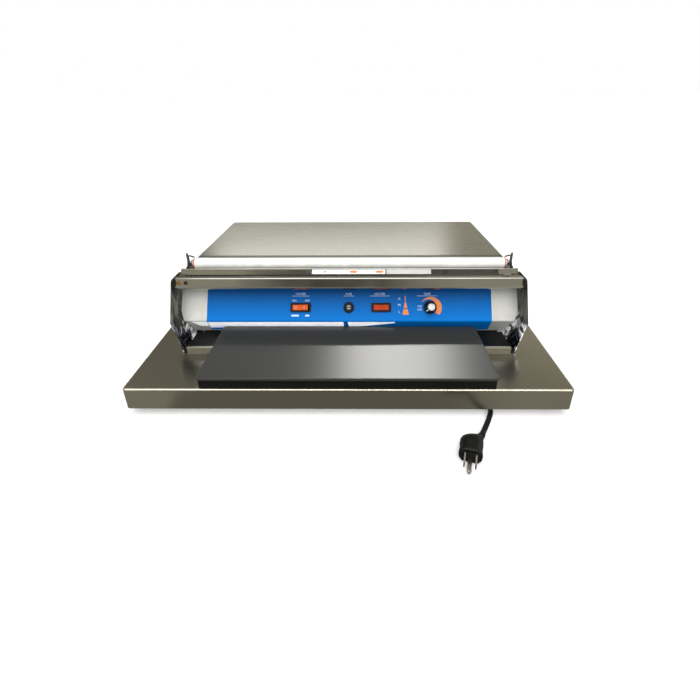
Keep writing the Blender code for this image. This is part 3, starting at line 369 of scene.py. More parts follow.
def make_materials():
    return {
        "satin_steel": brushed_steel("satin steel", STEEL, 0.27),
        "table_steel": steel_with_painted_hem_shade("table steel", STEEL, 0.27),
        "bar_steel": polished_steel("bar steel", STEEL, 0.12, 0.00003),
        # painted shade: the cutter channel is made dark to stand for the shade in the slot beside the front bar
        "channel_painted_shade": moulded_plastic("channel painted shade", (0.03, 0.03, 0.027), 0.6),
        "strip_dark": moulded_plastic("dark strip", (0.028, 0.026, 0.022), 0.3, 0.00001),
        "rod_steel": brushed_steel("rod steel", (0.60, 0.60, 0.57), 0.2),
        "dark_steel": brushed_steel("dark steel", (0.16, 0.16, 0.17), 0.3),
        "mirror_steel": polished_steel("mirror steel", (0.62, 0.61, 0.56), 0.07, 0.0006),
        "deck_steel": deck_sheet("deck steel", (0.60, 0.578, 0.50), 0.22),
        # the side plates' front ends carry painted shade; the right plate's copy is painted darker
        "side_steel": filmed_steel_painted_light("side steel", STEEL, 0.12, 0.45),
        "side_steel_painted_darker": filmed_steel_painted_light("side steel painted darker", STEEL, 0.12, 0.12),
        "panel_grey": moulded_plastic("panel grey", (0.53, 0.53, 0.49), 0.42),
        # the overlay's crest colour is painted shadow of the front bar
        "overlay_blue": printed_film_with_painted_shadow("overlay blue", (0.0, 0.040, 0.17), (0.0, 0.175, 0.60), 0.070, 0.128),
        "black_coating": coated_sheet("black coating", (0.029, 0.029, 0.027), 0.28),
        "black_paint": moulded_plastic("black paint", (0.0035, 0.0035, 0.0035), 0.45, Specular_IOR_Level=0.3),
        "white_plastic": moulded_plastic("white plastic", (0.82, 0.82, 0.79), 0.35),
        "label_white": moulded_plastic("label white", (0.80, 0.80, 0.80), 0.4, 0.00001),
        "black_plastic": moulded_plastic("black plastic", (0.010, 0.010, 0.010), 0.3),
        "brown_insulator": moulded_plastic("brown insulator", (0.06, 0.045, 0.03), 0.5),
        "ring_red": moulded_plastic("ring red", (0.62, 0.08, 0.03), 0.35),
        "lens_red": moulded_plastic("lens red", (0.42, 0.035, 0.002), 0.18, 0.00001, Coat_Weight=0.15),
        "orange_plastic": moulded_plastic("switch orange", (0.62, 0.09, 0.006), 0.25, 0.00001,
                                          Coat_Weight=0.15),
        "ink_orange": moulded_plastic("orange ink", (0.72, 0.21, 0.05), 0.3, 0.00001),
        "ink_white": moulded_plastic("white ink", (0.55, 0.68, 0.85), 0.3, 0.00001),
        # painted reflection: the glare band on the panel's lower face
        "painted_glare_white": moulded_plastic("painted glare white", (0.86, 0.88, 0.92), 0.35, 0.00001),
        "painted_glare_lilac": moulded_plastic("painted glare lilac", (0.42, 0.46, 0.85), 0.35, 0.00001),
        "plug_nickel": plug_pin_finish(),
        "painted_strip_reflection": moulded_plastic("painted strip reflection", (0.52, 0.52, 0.48), 0.4, 0.00001),
        "disc_grey": moulded_plastic("grey disc", (0.30, 0.30, 0.29), 0.35, 0.00001, Metallic=0.3),
        "cap_silver": moulded_plastic("silver cap", (0.70, 0.70, 0.68), 0.3, 0.00001, Metallic=0.25),
        "rubber": moulded_plastic("black rubber", RUBBER_BLACK, 0.5, 0.00006, Specular_IOR_Level=0.3),
        "rubber_gloss": moulded_plastic("black moulding", (0.003, 0.003, 0.003), 0.28, Specular_IOR_Level=0.4),
        "brass": brushed_steel("brass", (0.62, 0.33, 0.10), 0.25),
        "silicone_mat": moulded_plastic("silicone mat", (0.35, 0.08, 0.04), 0.6),
        "insulation": moulded_plastic("insulation board", (0.55, 0.5, 0.42), 0.9, 0.0001),
        "copper": brushed_steel("copper winding", (0.6, 0.25, 0.1), 0.4),
        "core_steel": brushed_steel("core steel", (0.18, 0.18, 0.19), 0.5),
        "glass": new_material("fuse glass", (0.8, 0.85, 0.85), 0.08, Coat_Weight=0.5),
    }


NODE_FINISHES = {
    "deck_steel": ("base_deck",),
    "mirror_steel": ("front_rail", "rear_wall"),
    "side_steel": ("left_side_plate",),
    "side_steel_painted_darker": ("right_side_plate",),
    "satin_steel": ("partition_wall", "base_floor", "cradle_bracket_left", "cradle_bracket_right"),
    "table_steel": ("table_top",),
    "channel_painted_shade": ("cutter_channel",),
    "bar_steel": ("front_bar", "cutter_strip"),
    "rod_steel": ("cutter_wire", "cutter_spring", "guide_roller_axle", "table_pivot_left",
                  "table_pivot_right", "cradle_roller_front", "cradle_roller_rear", "thermostat_shaft"),
    "dark_steel": ("roller_bracket_left", "roller_bracket_right"),
    "panel_grey": ("control_panel",),
    "overlay_blue": ("panel_overlay",),
    "black_coating": ("hot_plate_cover",),
    "black_paint": ("hot_plate_tray",),
    "white_plastic": ("guide_roller", "terminal_block"),
    "brown_insulator": ("cutter_insulator_left", "cutter_insulator_right"),
    "label_white": ("caution_label",),
    "black_plastic": ("rocker_housing", "lamp_housing", "fuse_holder", "fuse_cap", "bar_end_plug", "knob"),
    "ring_red": ("roller_ring_left", "roller_ring_right"),
    "lens_red": ("lamp_lens",),
    "orange_plastic": ("rocker_button",),
    "rubber": ("foot_front_left", "foot_front_right", "foot_rear_left", "foot_rear_right", "plug_body",
               "strain_relief"),
    "brass": ("bar_terminal_screw",),
    "plug_nickel": ("plug_pins",),
    "cap_silver": ("knob_cap",),
    "silicone_mat": ("heater_mat",),
    "insulation": ("insulation_board", "thermostat_body"),
    "copper": ("transformer_coil",),
    "core_steel": ("transformer_core",),
    "glass": ("fuse_link",),
}


def finish_nodes(mats):
    for finish, names in NODE_FINISHES.items():
        for name in names:
            slots = NODES[name].material_slots
            if not slots:
                NODES[name].data.materials.append(mats[finish])
            for place in slots:
                place.material = mats[finish]


# ---------------------------------------------------------------- mesh building, in millimetres in a frame

WELD = 0.0001       # points closer than this, in mm, are one


def turns(count):
    """Angles spaced evenly round a full turn."""
    return [2 * pi * i / count for i in range(count)]


def bridge(bm, rings):
    """Faces between each closed ring and the next. A ring of one point is a tip."""
    for lower, upper in zip(rings, rings[1:]):
        count = max(len(lower), len(upper))
        for i in range(count):
            j = (i + 1) % count
            corners = [ring[k % len(ring)] for ring, k in ((lower, i), (lower, j), (upper, j), (upper, i))]
            bm.faces.new(list(dict.fromkeys(corners)))


def add_capped(bm, rings):
    """A closed form through its rings, with a flat face at each end."""
    bm.faces.new(rings[0])
    bm.faces.new(rings[-1])
    bridge(bm, rings)


def add_turned(bm, profile, segments=48):
    """Turns (radius, height) pairs about z. A radius of 0 closes an end."""
    bridge(bm, [[bm.verts.new((radius * cos(angle), radius * sin(angle), height))
                 for angle in (turns(segments) if radius else [0.0])] for radius, height in profile])


def add_tube(bm, profile, segments):
    """Turns a closed (radius, height) profile, whose last point is its first, about z."""
    add_turned(bm, profile, segments)
    bmesh.ops.remove_doubles(bm, verts=bm.verts, dist=WELD)


def add_prism(bm, outline, low, high):
    add_capped(bm, [[bm.verts.new((x, y, z)) for x, y in outline] for z in (low, high)])


def arc(centre, radius, start, end, steps):
    """Points on an arc between two angles in degrees."""
    angles = [radians(start + (end - start) * i / steps) for i in range(steps + 1)]
    return [(centre[0] + radius * cos(a), centre[1] + radius * sin(a)) for a in angles]


def rounded_rectangle(x0, y0, x1, y1, radius, steps=4):
    """A rectangle's outline with round corners, anticlockwise."""
    corners = ((x1, y1, 0), (x0, y1, 90), (x0, y0, 180), (x1, y0, 270))
    points = []
    for x, y, start in corners:
        centre = (x - radius if x == x1 else x + radius, y - radius if y == y1 else y + radius)
        points += arc(centre, radius, start, start + 90, steps)
    return points


def make_piece(name, bm, finish, place, body, replaced=(), bevel=0.0, smooth_angle=35.0):
    """A finished piece from a mesh drawn in millimetres in a frame, riding on a body."""
    bmesh.ops.recalc_face_normals(bm, faces=bm.faces)
    mesh = bpy.data.meshes.new(name)
    bm.to_mesh(mesh)
    bm.free()
    mesh.transform(place @ Matrix.Scale(MM, 4))
    mesh.shade_smooth()
    mesh.set_sharp_from_angle(angle=radians(smooth_angle))
    mesh.materials.append(finish)
    piece = bpy.data.objects.new(name, mesh)
    bpy.context.scene.collection.objects.link(piece)
    if bevel:
        modifier = piece.modifiers.new("edges", "BEVEL")
        modifier.width = bevel * MM
        modifier.segments = 3
        modifier.limit_method = "ANGLE"
        modifier.angle_limit = radians(40)
    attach(piece, body)
    if replaced:
        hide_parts(*replaced)
    return piece


# ---------------------------------------------------------------- printing on the panel

INK = 0.12          # thickness of printed marks, in mm


def printed(name, outlines, finish, place, base=FACE):
    """Flat printed shapes that lie on a face."""
    bm = bmesh.new()
    for outline in outlines:
        add_prism(bm, outline, base, base + INK)
    return make_piece(name, bm, finish, place, "root")


def printed_text(name, words, size, finish, place):
    """Generic words on the overlay, in the built-in font. Each is (text, x, y), centred, in mm."""
    bm = bmesh.new()
    for text, x, y in words:
        curve = bpy.data.curves.new(name, "FONT")
        curve.body = text
        curve.size = size
        curve.align_x = "CENTER"
        curve.align_y = "CENTER"
        curve.extrude = INK / 2
        letters = bpy.data.objects.new(name, curve)
        mesh = bpy.data.meshes.new_from_object(letters)
        mesh.transform(Matrix.Translation((x, y, FACE + INK / 2)))
        bm.from_mesh(mesh)
        bpy.data.objects.remove(letters)
        bpy.data.curves.remove(curve)
        bpy.data.meshes.remove(mesh)
    return make_piece(name, bm, finish, place, "root")


def box_outline(x0, y0, x1, y1):
    return [(x0, y0), (x1, y0), (x1, y1), (x0, y1)]


def oval_outline(x, half_width, half_height, steps):
    return [(x + half_width * cos(angle), half_height * sin(angle)) for angle in turns(steps)]


def make_dial(mats, place):
    """The swelling crescent round the knob, cut off level below it."""
    centre, radius, widest = (1.6, -0.2), 16.2, 8.8
    first, last, steps = 152.0, -52.0, 51
    swell, thinnest, level = 135.0, 0.15, -10.6
    bm = bmesh.new()
    rings = []
    for i in range(steps + 1):
        angle = first + (last - first) * i / steps
        width = widest * min(1.0, (first - angle) / swell) + thinnest
        c, s = cos(radians(angle)), sin(radians(angle))
        rings.append([(centre[0] + r * c, max(centre[1] + r * s, level)) for r in (radius, radius - width)])
    outline = [outer for outer, _ in rings] + [inner for _, inner in reversed(rings)]
    add_prism(bm, outline, FACE, FACE + INK)
    bmesh.ops.remove_doubles(bm, verts=bm.verts, dist=WELD)
    make_piece("dial_crescent", bm, mats["ink_orange"], place, "root")


def lower_face_frame():
    """The overlay's face below the fold: x across, y up the face, z out of it."""
    mesh = NODES["panel_overlay"].data
    lean, height = 16.5, 26.7
    outward, rising = Vector((0.0, -height, -lean)).normalized(), Vector((0.0, -lean, height))
    face = max((f for f in mesh.polygons if f.normal.dot(outward) > 0.95), key=lambda f: f.area)
    up = (rising - face.normal * face.normal.dot(rising)).normalized()
    points = [mesh.vertices[i].co for i in face.vertices]
    crest = max(points, key=lambda co: co.dot(up))
    return oriented(Vector((0.0, crest.y, crest.z)), up.cross(face.normal), up)


def make_painted_glare_band(mats):
    """A painted reflection printed along the panel's lower face: a white glare band with a lilac fringe, broken
    below the fuse and run out by the knob.
    """
    place = lower_face_frame()
    pale = [
        box_outline(-215.5, -15.5, -8.0, -0.5),
        [(0.0, -15.5), (14.0, -15.5), (70.0, -3.4), (70.0, -0.5), (-1.5, -0.5)],
    ]
    printed("panel_painted_glare", pale, mats["painted_glare_white"], place, base=0.0)
    # painted reflection: the glare's end on the grey panel
    end = [(-217.0, -14.0), (-217.0, -0.6), (-240.0, -0.6), (-229.0, -14.0)]
    printed("panel_painted_glare_end", [end], mats["painted_glare_white"], place, base=-0.5)
    # painted reflection: the glare's lilac fringe
    edge = box_outline(-215.5, -19.5, 20.0, -15.8)
    printed("panel_painted_glare_edge", [edge], mats["painted_glare_lilac"], place, base=0.0)


def make_printing(mats):
    """The panel's control labels, heat scale, dial and painted glare band."""
    white, orange = mats["ink_white"], mats["ink_orange"]
    titles = [("POWER", -73.0, 20.5), ("FUSE", 0.0, 20.5), ("HEATER", 47.0, 20.5), ("TEMP", 119.0, 20.5)]
    row = panel_frame(0.0)
    printed_text("panel_titles", titles, 4.6, white, row)
    rules = [box_outline(x - half, 17.2, x + half, 17.7) for x, half in
             ((-73.0, 13.0), (0.0, 8.0), (47.0, 15.0), (119.0, 15.0))]
    printed("panel_rules", rules, white, row)
    switch_words = [("ON", -83.0, 10.2), ("OFF", -63.0, 10.2), ("ON", 107.5, 1.6), ("OFF", 107.5, -3.6)]
    printed_text("switch_marks", switch_words, 4.2, white, row)
    underlines = [box_outline(-87.0, -13.6, -76.0, -11.0), box_outline(-66.0, -13.6, -60.0, -11.0)]
    printed("switch_underlines", underlines, white, row)
    wedges = [
        [(85.0, 9.0), (86.4, 9.0), (86.2, 17.5), (85.2, 17.5)],
        [(83.2, -0.6), (88.6, -0.6), (87.0, 7.6), (84.8, 7.6)],
        [(81.2, -11.0), (90.8, -11.0), (89.1, -2.4), (82.9, -2.4)],
    ]
    printed("heat_scale", wedges, orange, row)
    levels = [("H", 76.5, 13.0), ("M", 76.5, 3.4), ("L", 76.5, -6.6)]
    printed_text("heat_scale_marks", levels, 5.0, white, row)
    make_dial(mats, panel_frame(joint_place("knob_turn").x / MM))
    make_painted_glare_band(mats)


# ---------------------------------------------------------------- controls

def make_knob(mats):
    """A fluted knob with a pointer ridge."""
    place = panel_frame(joint_place("knob_turn").x / MM)
    low = FACE + 0.4
    segments, flutes = 144, 12
    levels = [(9.4, low, 0.0), (10.0, low + 0.3, 0.0), (10.0, low + 1.5, 0.0), (9.6, low + 1.9, 0.0),
              (8.4, low + 2.8, 0.2), (8.1, low + 4.0, 0.6), (7.8, low + 8.5, 0.6), (7.6, low + 12.2, 0.5),
              (7.3, low + 13.0, 0.2), (6.8, low + 13.5, 0.0), (5.9, low + 13.6, 0.0), (5.7, low + 13.4, 0.0),
              (5.7, low + 12.9, 0.0)]
    bm = bmesh.new()
    rings = []
    for radius, height, depth in levels:
        ring = []
        for angle in turns(segments):
            reach = radius - max(0.0, cos(flutes * angle)) ** 2 * depth
            ring.append(bm.verts.new((reach * cos(angle), reach * sin(angle), height)))
        rings.append(ring)
    add_capped(bm, rings)
    make_piece("knob_grip", bm, mats["black_plastic"], place, "thermostat_knob", ("knob",))
    bm = bmesh.new()
    add_prism(bm, rounded_rectangle(-0.45, 5.95, 0.45, 9.4, 0.3), low + 1.8, low + 13.75)
    pointer = place @ Matrix.Rotation(radians(130.0), 4, "Z")
    make_piece("knob_pointer", bm, mats["ink_white"], pointer, "thermostat_knob")
    bm = bmesh.new()
    cap = [(0.0, low + 12.95), (5.4, low + 12.95), (5.4, low + 13.7), (5.0, low + 14.3), (4.4, low + 14.45),
           (4.1, low + 14.2), (0.0, low + 14.35)]
    add_turned(bm, cap, 64)
    make_piece("knob_disc", bm, mats["cap_silver"], place, "thermostat_knob", ("knob_cap",))


def make_rocker(mats):
    """The lit button's hollowed face with its moulded marks."""
    tilted = panel_frame(joint_place("rocker_tilt").x / MM) @ Matrix.Rotation(radians(-10.0), 4, "Y")
    half_length, half_width, end_height, steps = 12.1, 4.2, 4.1, 16
    hollow = [(half_length - 2 * half_length * i / steps, 2.5 + 1.7 * abs(1 - i / (steps / 2)) ** 1.6)
              for i in range(1, steps)]
    top = [(half_length, end_height), *hollow, (-half_length, end_height)]
    outline = top + [(-11.6, -0.6)] + arc((0.0, 0.0), 7.4, 205.0, 335.0, 10) + [(11.6, -0.6)]
    bm = bmesh.new()
    add_capped(bm, [[bm.verts.new((x, side, z)) for x, z in outline] for side in (-half_width, half_width)])
    make_piece("rocker_cap", bm, mats["orange_plastic"], tilted, "rocker", ("rocker_button",),
               bevel=0.4)
    bm = bmesh.new()
    add_prism(bm, box_outline(-7.0, -1.2, -6.5, 1.2), 2.6, 3.35)
    add_turned(bm, [(1.3, 2.6), (1.3, 3.25), (0.85, 3.25), (0.85, 2.6), (1.3, 2.6)], 24)
    bmesh.ops.translate(bm, verts=bm.verts[8:], vec=(6.6, 0.0, 0.0))
    bmesh.ops.remove_doubles(bm, verts=bm.verts, dist=WELD)
    make_piece("rocker_marks", bm, mats["ink_white"], tilted, "rocker")


def make_fuse_cap(mats):
    """A knurled bayonet cap with a slotted metal disc let into it."""
    place = panel_frame(0.0)
    low = FACE + 2.5
    segments, knurls = 120, 20
    levels = [(0.0, low, 0.0), (5.8, low, 0.3), (6.0, low + 0.3, 0.3), (6.0, low + 3.0, 0.3),
              (5.6, low + 3.6, 0.0), (3.7, low + 3.8, 0.0), (3.6, low + 3.3, 0.0), (0.0, low + 3.3, 0.0)]
    bm = bmesh.new()
    rings = []
    for radius, height, depth in levels:
        ring = []
        for angle in turns(segments) if radius else [0.0]:
            reach = radius - depth * (0.5 + 0.5 * cos(knurls * angle))
            ring.append(bm.verts.new((reach * cos(angle), reach * sin(angle), height)))
        rings.append(ring)
    bridge(bm, rings)
    make_piece("fuse_grip", bm, mats["black_plastic"], place, "fuse_carrier", ("fuse_cap",))
    bm = bmesh.new()
    for side in (-1, 1):
        half = arc((0.0, 0.0), 3.3, 12.0, 168.0, 16)
        add_prism(bm, [(x, side * y) for x, y in half], low + 3.35, low + 3.7)
    make_piece("fuse_disc", bm, mats["disc_grey"], place, "fuse_carrier")


def make_lamp_lens(mats):
    """A ribbed red lens with a crowned face."""
    left, right = (corner[0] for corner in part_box("lamp_lens"))
    place = panel_frame((left + right) / 2 / MM)
    half_x, half_y, low, high, ribs = 11.3, 3.9, -4.0, FACE + 2.2, 15
    columns, rows = ribs * 8, 8
    bm = bmesh.new()
    top = []
    for row in range(rows + 1):
        y = half_y * (2 * row / rows - 1)
        line = []
        for column in range(columns + 1):
            x = half_x * (2 * column / columns - 1)
            crown = 0.5 * (1 - (y / half_y) ** 2) * (1 - (x / half_x) ** 6)
            rib = 0.16 * abs(sin(pi * ribs * column / columns))
            line.append(bm.verts.new((x, y, high + crown + rib)))
        top.append(line)
    for lower, upper in zip(top, top[1:]):
        for i in range(columns):
            bm.faces.new((lower[i], lower[i + 1], upper[i + 1], upper[i]))
    rim = top[0] + [line[-1] for line in top[1:]] + top[-1][-2::-1] + [line[0] for line in top[-2:0:-1]]
    underside = [bm.verts.new((vert.co.x, vert.co.y, low)) for vert in rim]
    bridge(bm, [rim, underside])
    bm.faces.new(underside)
    make_piece("lamp_window", bm, mats["lens_red"], place, "root", ("lamp_lens",),
               smooth_angle=50.0)


def make_controls(mats):
    make_knob(mats)
    make_rocker(mats)
    make_fuse_cap(mats)
    make_lamp_lens(mats)


# ---------------------------------------------------------------- guide roller ends and hooks

def make_roller_ends(mats):
    """A thin red flange on a white hub at each end of the roller."""
    centre = joint_place("guide_roller_spin")
    half = 240.0        # half the roller's length, in mm
    for side, sign in (("left", -1), ("right", 1)):
        place = Matrix.Translation(centre) @ Matrix.Rotation(radians(90.0 * sign), 4, "Y")
        bm = bmesh.new()
        add_tube(bm, [(5.4, half + 0.3), (7.9, half + 0.3), (8.2, half + 0.5), (8.2, half + 1.2),
                      (7.9, half + 1.5), (5.4, half + 1.5), (5.4, half + 0.3)], 48)
        make_piece("roller_flange_" + side, bm, mats["ring_red"], place, "guide_roller")
        bm = bmesh.new()
        add_tube(bm, [(3.3, half - 8), (5.3, half - 8), (5.3, half + 3.2), (4.7, half + 4.0),
                      (3.3, half + 4.0), (3.3, half - 8)], 40)
        make_piece("roller_hub_" + side, bm, mats["white_plastic"], place, "guide_roller",
                   ("roller_ring_" + side,))


def add_wire(name, points, radius, finish, resolution=4):
    """A bent wire or cord on the root body, through points in metres."""
    curve = bpy.data.curves.new(name, "CURVE")
    curve.dimensions = "3D"
    curve.bevel_depth = radius * MM
    curve.bevel_resolution = resolution
    curve.use_fill_caps = True
    spline = curve.splines.new("POLY")
    spline.points.add(len(points) - 1)
    for place, point in zip(spline.points, points):
        place.co = (*point, 1.0)
    curve.materials.append(finish)
    wire = bpy.data.objects.new(name, curve)
    bpy.context.scene.collection.objects.link(wire)
    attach(wire, "root")
    return wire


def make_roller_hooks(mats):
    """Bent wire hooks that keep the roller's axle down, each held by a cap nut on the bracket."""
    for side, sign in (("left", -1), ("right", 1)):
        route = [(251.0, 174.5, 137.5), (250.8, 172.5, 143.0), (249.6, 170.0, 148.0), (247.0, 168.2, 152.5),
                 (246.2, 168.0, 156.6), (247.4, 169.5, 160.2), (245.4, 171.6, 161.2), (242.4, 173.4, 159.6),
                 (239.4, 174.4, 157.8)]
        points = [world(sign * x, y, z) for x, y, z in smooth_curve(route, 5)]
        add_wire("axle_hook_" + side, points, 1.2, mats["dark_steel"])
        place = Matrix.Translation(world(sign * 249.3, 171.0, 141.5))
        place = place @ Matrix.Rotation(radians(90.0 * sign), 4, "Y")
        bm = bmesh.new()
        add_turned(bm, [(0.0, 0.0), (2.9, 0.0), (2.9, 2.2), (2.2, 3.6), (0.0, 4.2)], 24)
        make_piece("hook_nut_" + side, bm, mats["black_plastic"], place, "root")


# ---------------------------------------------------------------- painted shade sheet on the deck, and cutter label

def make_recess_shade_sheet(mats):
    """A black sheet on the deck between the rail and the panel's foot: painted shade standing for the dark
    recess under the panel's overhang.
    """
    bm = bmesh.new()
    half, step, front, notch, rear = 239.0, 228.4, 82.2, 137.5, 146.0
    outline = [(-half, front), (half, front), (half, notch), (step, notch), (step, rear), (-step, rear),
               (-step, notch), (-half, notch)]
    bottom, top = 45.35, 46.2
    add_prism(bm, outline, bottom, top)
    place = Matrix.Translation(world(0.0, 0.0, 0.0))
    make_piece("recess_painted_shade", bm, mats["black_paint"], place, "root")


def make_label_marks(mats):
    """Two orange ovals and a dot on the cutter's blank label, and on the strip beside it a pale painted
    reflection and a dark band.
    """
    low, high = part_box("caution_label")
    slope = Vector((0.0, high.y - low.y, high.z - low.z)).normalized()
    middle = (Vector(low) + Vector(high)) / 2
    place = oriented(Vector((0.0, middle.y, middle.z)), ACROSS, slope)
    label_face, strip_face = 0.25, -0.15
    ovals = [oval_outline(x, 6.0, 1.9, 28) for x in (7.4, 46.5)]
    printed("label_ovals", ovals, mats["ink_orange"], place, label_face)
    # painted reflection: the pale band stands for the strip mirroring something bright; the dark band darkens
    # the strip's right part
    pale, dark = box_outline(57.0, -3.6, 124.2, 3.9), box_outline(125.0, -3.6, 226.0, 3.9)
    printed("strip_painted_reflection", [pale], mats["painted_strip_reflection"], place, strip_face)
    printed("strip_dark_band", [dark], mats["strip_dark"], place, strip_face)
    dot = oval_outline(-36.0, 1.1, 1.1, 16)
    printed("label_dot", [dot], mats["black_plastic"], place, label_face)


# ---------------------------------------------------------------- mains cord

CORD_DIAMETER = 6.5                 # in mm, as are the routes below
CORD_TO_COIL = [
    (180.0, 500.6, 29.0), (180.0, 510.0, 28.7), (180.0, 522.0, 27.2), (180.0, 532.0, 25.0),
    (180.0, 541.0, 23.4),
]
COIL_CENTRE = (145.5, 556.0)
CORD_TO_PLUG = [
    (104.5, 532.2, 15.4), (104.5, 520.0, 13.4), (104.5, 504.0, 9.8), (105.0, 486.0, 6.0),
    (106.5, 466.0, 3.8), (111.0, 430.0, 3.5), (120.0, 370.0, 3.5), (133.0, 300.0, 3.5), (149.0, 230.0, 3.5),
    (165.0, 160.0, 3.5), (179.0, 98.0, 3.5), (188.0, 50.0, 3.5), (191.0, 26.0, 3.5), (190.0, 9.0, 3.5),
    (184.6, -4.0, 3.5), (177.0, -17.8, 3.8), (171.2, -28.0, 5.4), (166.6, -36.0, 7.9), (163.6, -42.0, 9.8),
]


def coil_turns():
    """Two columns of turns, wound down the inner one and up the outer one, a diameter apart."""
    inner, outer = 34.5, 41.0
    arrival, top, bottom = 23.4, 16.25, 3.25
    points = []
    for degrees in range(-20, 1621, 20):
        if degrees < 60:
            radius, height = inner, arrival + (top - arrival) * (degrees + 25) / 85
        elif degrees < 780:
            radius, height = inner, top - CORD_DIAMETER * (degrees - 60) / 360
        elif degrees < 840:
            radius, height = inner + (outer - inner) * (degrees - 780) / 60, bottom
        else:
            radius, height = outer, min(top, bottom + CORD_DIAMETER * (degrees - 840) / 360)
        angle = radians(degrees)
        points.append((COIL_CENTRE[0] + radius * cos(angle), COIL_CENTRE[1] + radius * sin(angle), height))
    return points


def smooth_curve(points, per_span):
    """Points on the smooth (Catmull-Rom) curve through a route."""
    route = [Vector(p) for p in points]
    route = [2 * route[0] - route[1]] + route + [2 * route[-1] - route[-2]]
    result = []
    for a, b, c, d in zip(route, route[1:], route[2:], route[3:]):
        for i in range(per_span):
            t = i / per_span
            result.append(0.5 * (2 * b + (c - a) * t + (2 * a - 5 * b + 4 * c - d) * t ** 2
                                 + (3 * b - a - 3 * c + d) * t ** 3))
    result.append(route[-2])
    return result


def make_cord(mats):
    """The flexible mains cord, from the strain relief through the tied coil to the plug."""
    points = [world(*p) for p in smooth_curve(CORD_TO_COIL + coil_turns() + CORD_TO_PLUG, 4)]
    cord = add_wire("mains_cord", points, CORD_DIAMETER / 2, mats["rubber"], resolution=5)
    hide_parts("power_cord", "power_cord_lead", "power_cord_coil")
    relief = make_strain_relief(mats)
    plug = make_plug(mats)
    tie = make_tie(mats)


def make_strain_relief(mats):
    """A ribbed, tapered sleeve that carries the cord out of the rear apron."""
    place = Matrix.Translation(world(180.0, BASE_DEPTH, 29.0)) @ Matrix.Rotation(radians(-90.0), 4, "X")
    bore, inner_end = 3.35, -8.5
    profile = [(bore, inner_end), (7.8, inner_end), (7.8, 0.2), (10.9, 0.2), (10.9, 4.0), (10.4, 4.5),
               (8.8, 4.8)]
    ribs, start, end = 7, 5.6, 29.0
    for i in range(ribs):
        foot = start + (end - start) * i / ribs
        radius = 8.4 - 3.5 * i / (ribs - 1)
        groove = radius - 0.9
        profile += [(radius, foot), (radius, foot + 1.9), (groove, foot + 2.2), (groove, foot + 2.9)]
    profile += [(4.7, 29.2), (4.5, 30.0), (bore, 30.0), (bore, inner_end)]
    bm = bmesh.new()
    add_tube(bm, profile, 40)
    return make_piece("cord_sleeve", bm, mats["rubber"], place, "root", ("strain_relief",))


def make_tie(mats):
    """A flat strap round the coil's left side."""
    coil_radius, coil_height = 37.75, 9.75
    place = Matrix.Translation(world(COIL_CENTRE[0] - coil_radius, COIL_CENTRE[1], coil_height))
    place = place @ Matrix.Rotation(radians(90.0), 4, "X")
    bm = bmesh.new()
    outer = rounded_rectangle(-7.6, -9.2, 7.6, 10.6, 3.6, 5)
    inner = rounded_rectangle(-6.9, -8.9, 6.9, 9.9, 3.1, 5)
    half = 4.0
    rings = [[bm.verts.new((x, y, depth)) for x, y in outline]
             for outline, depth in ((outer, -half), (outer, half), (inner, half), (inner, -half))]
    bridge(bm, rings + rings[:1])
    return make_piece("cord_tie", bm, mats["black_plastic"], place, "root")


def make_plug(mats):
    """A moulded plug whose ribbed neck enters at a corner. Each step: half width, half height, depth, shift."""
    steps = [(3.4, 3.4, 0.05, 0.0), (4.1, 4.1, 0.1, 0.0), (4.3, 4.3, 0.7, -0.2), (4.4, 4.4, 1.6, -0.6),
             (3.7, 3.7, 1.9, -0.8), (3.7, 3.7, 2.5, -1.0), (4.6, 4.6, 2.8, -1.2), (4.8, 4.8, 4.0, -1.8),
             (4.2, 4.2, 4.3, -2.0), (4.3, 4.3, 4.9, -2.3), (5.4, 5.3, 5.2, -2.6), (6.4, 6.0, 6.6, -4.2),
             (7.9, 7.0, 8.2, -6.2), (9.7, 7.9, 9.8, -8.0), (11.4, 8.7, 11.8, -9.6), (12.6, 9.2, 14.0, -10.7),
             (13.3, 9.6, 17.0, -11.3), (13.5, 9.7, 21.0, -11.4), (13.0, 9.6, 25.0, -11.4),
             (12.9, 9.6, 29.0, -11.4), (13.3, 9.7, 33.0, -11.4), (13.5, 9.7, 36.0, -11.4),
             (13.2, 9.4, 37.3, -11.4), (12.5, 8.8, PLUG_LENGTH, -11.4)]
    bm = bmesh.new()
    rings = []
    for half_width, half_height, depth, shift in steps:
        squareness = 1.0 if half_width < 5.6 else 0.72      # a round neck on a squarish body
        ring = []
        for angle in turns(56):
            c, s = cos(angle), sin(angle)
            x = half_width * abs(c) ** squareness * (1 if c > 0 else -1)
            y = half_height * abs(s) ** squareness * (1 if s > 0 else -1)
            ring.append(bm.verts.new((shift + x, y, depth)))
        rings.append(ring)
    add_capped(bm, rings)
    body = make_piece("plug_shell", bm, mats["rubber_gloss"], plug_frame(), "root", ("plug_body",))
    return [body, NODES["plug_pins"]]


# ---------------------------------------------------------------- studio

WARM = (1.0, 0.98, 0.93)
WHITE = (1.0, 1.0, 1.0)


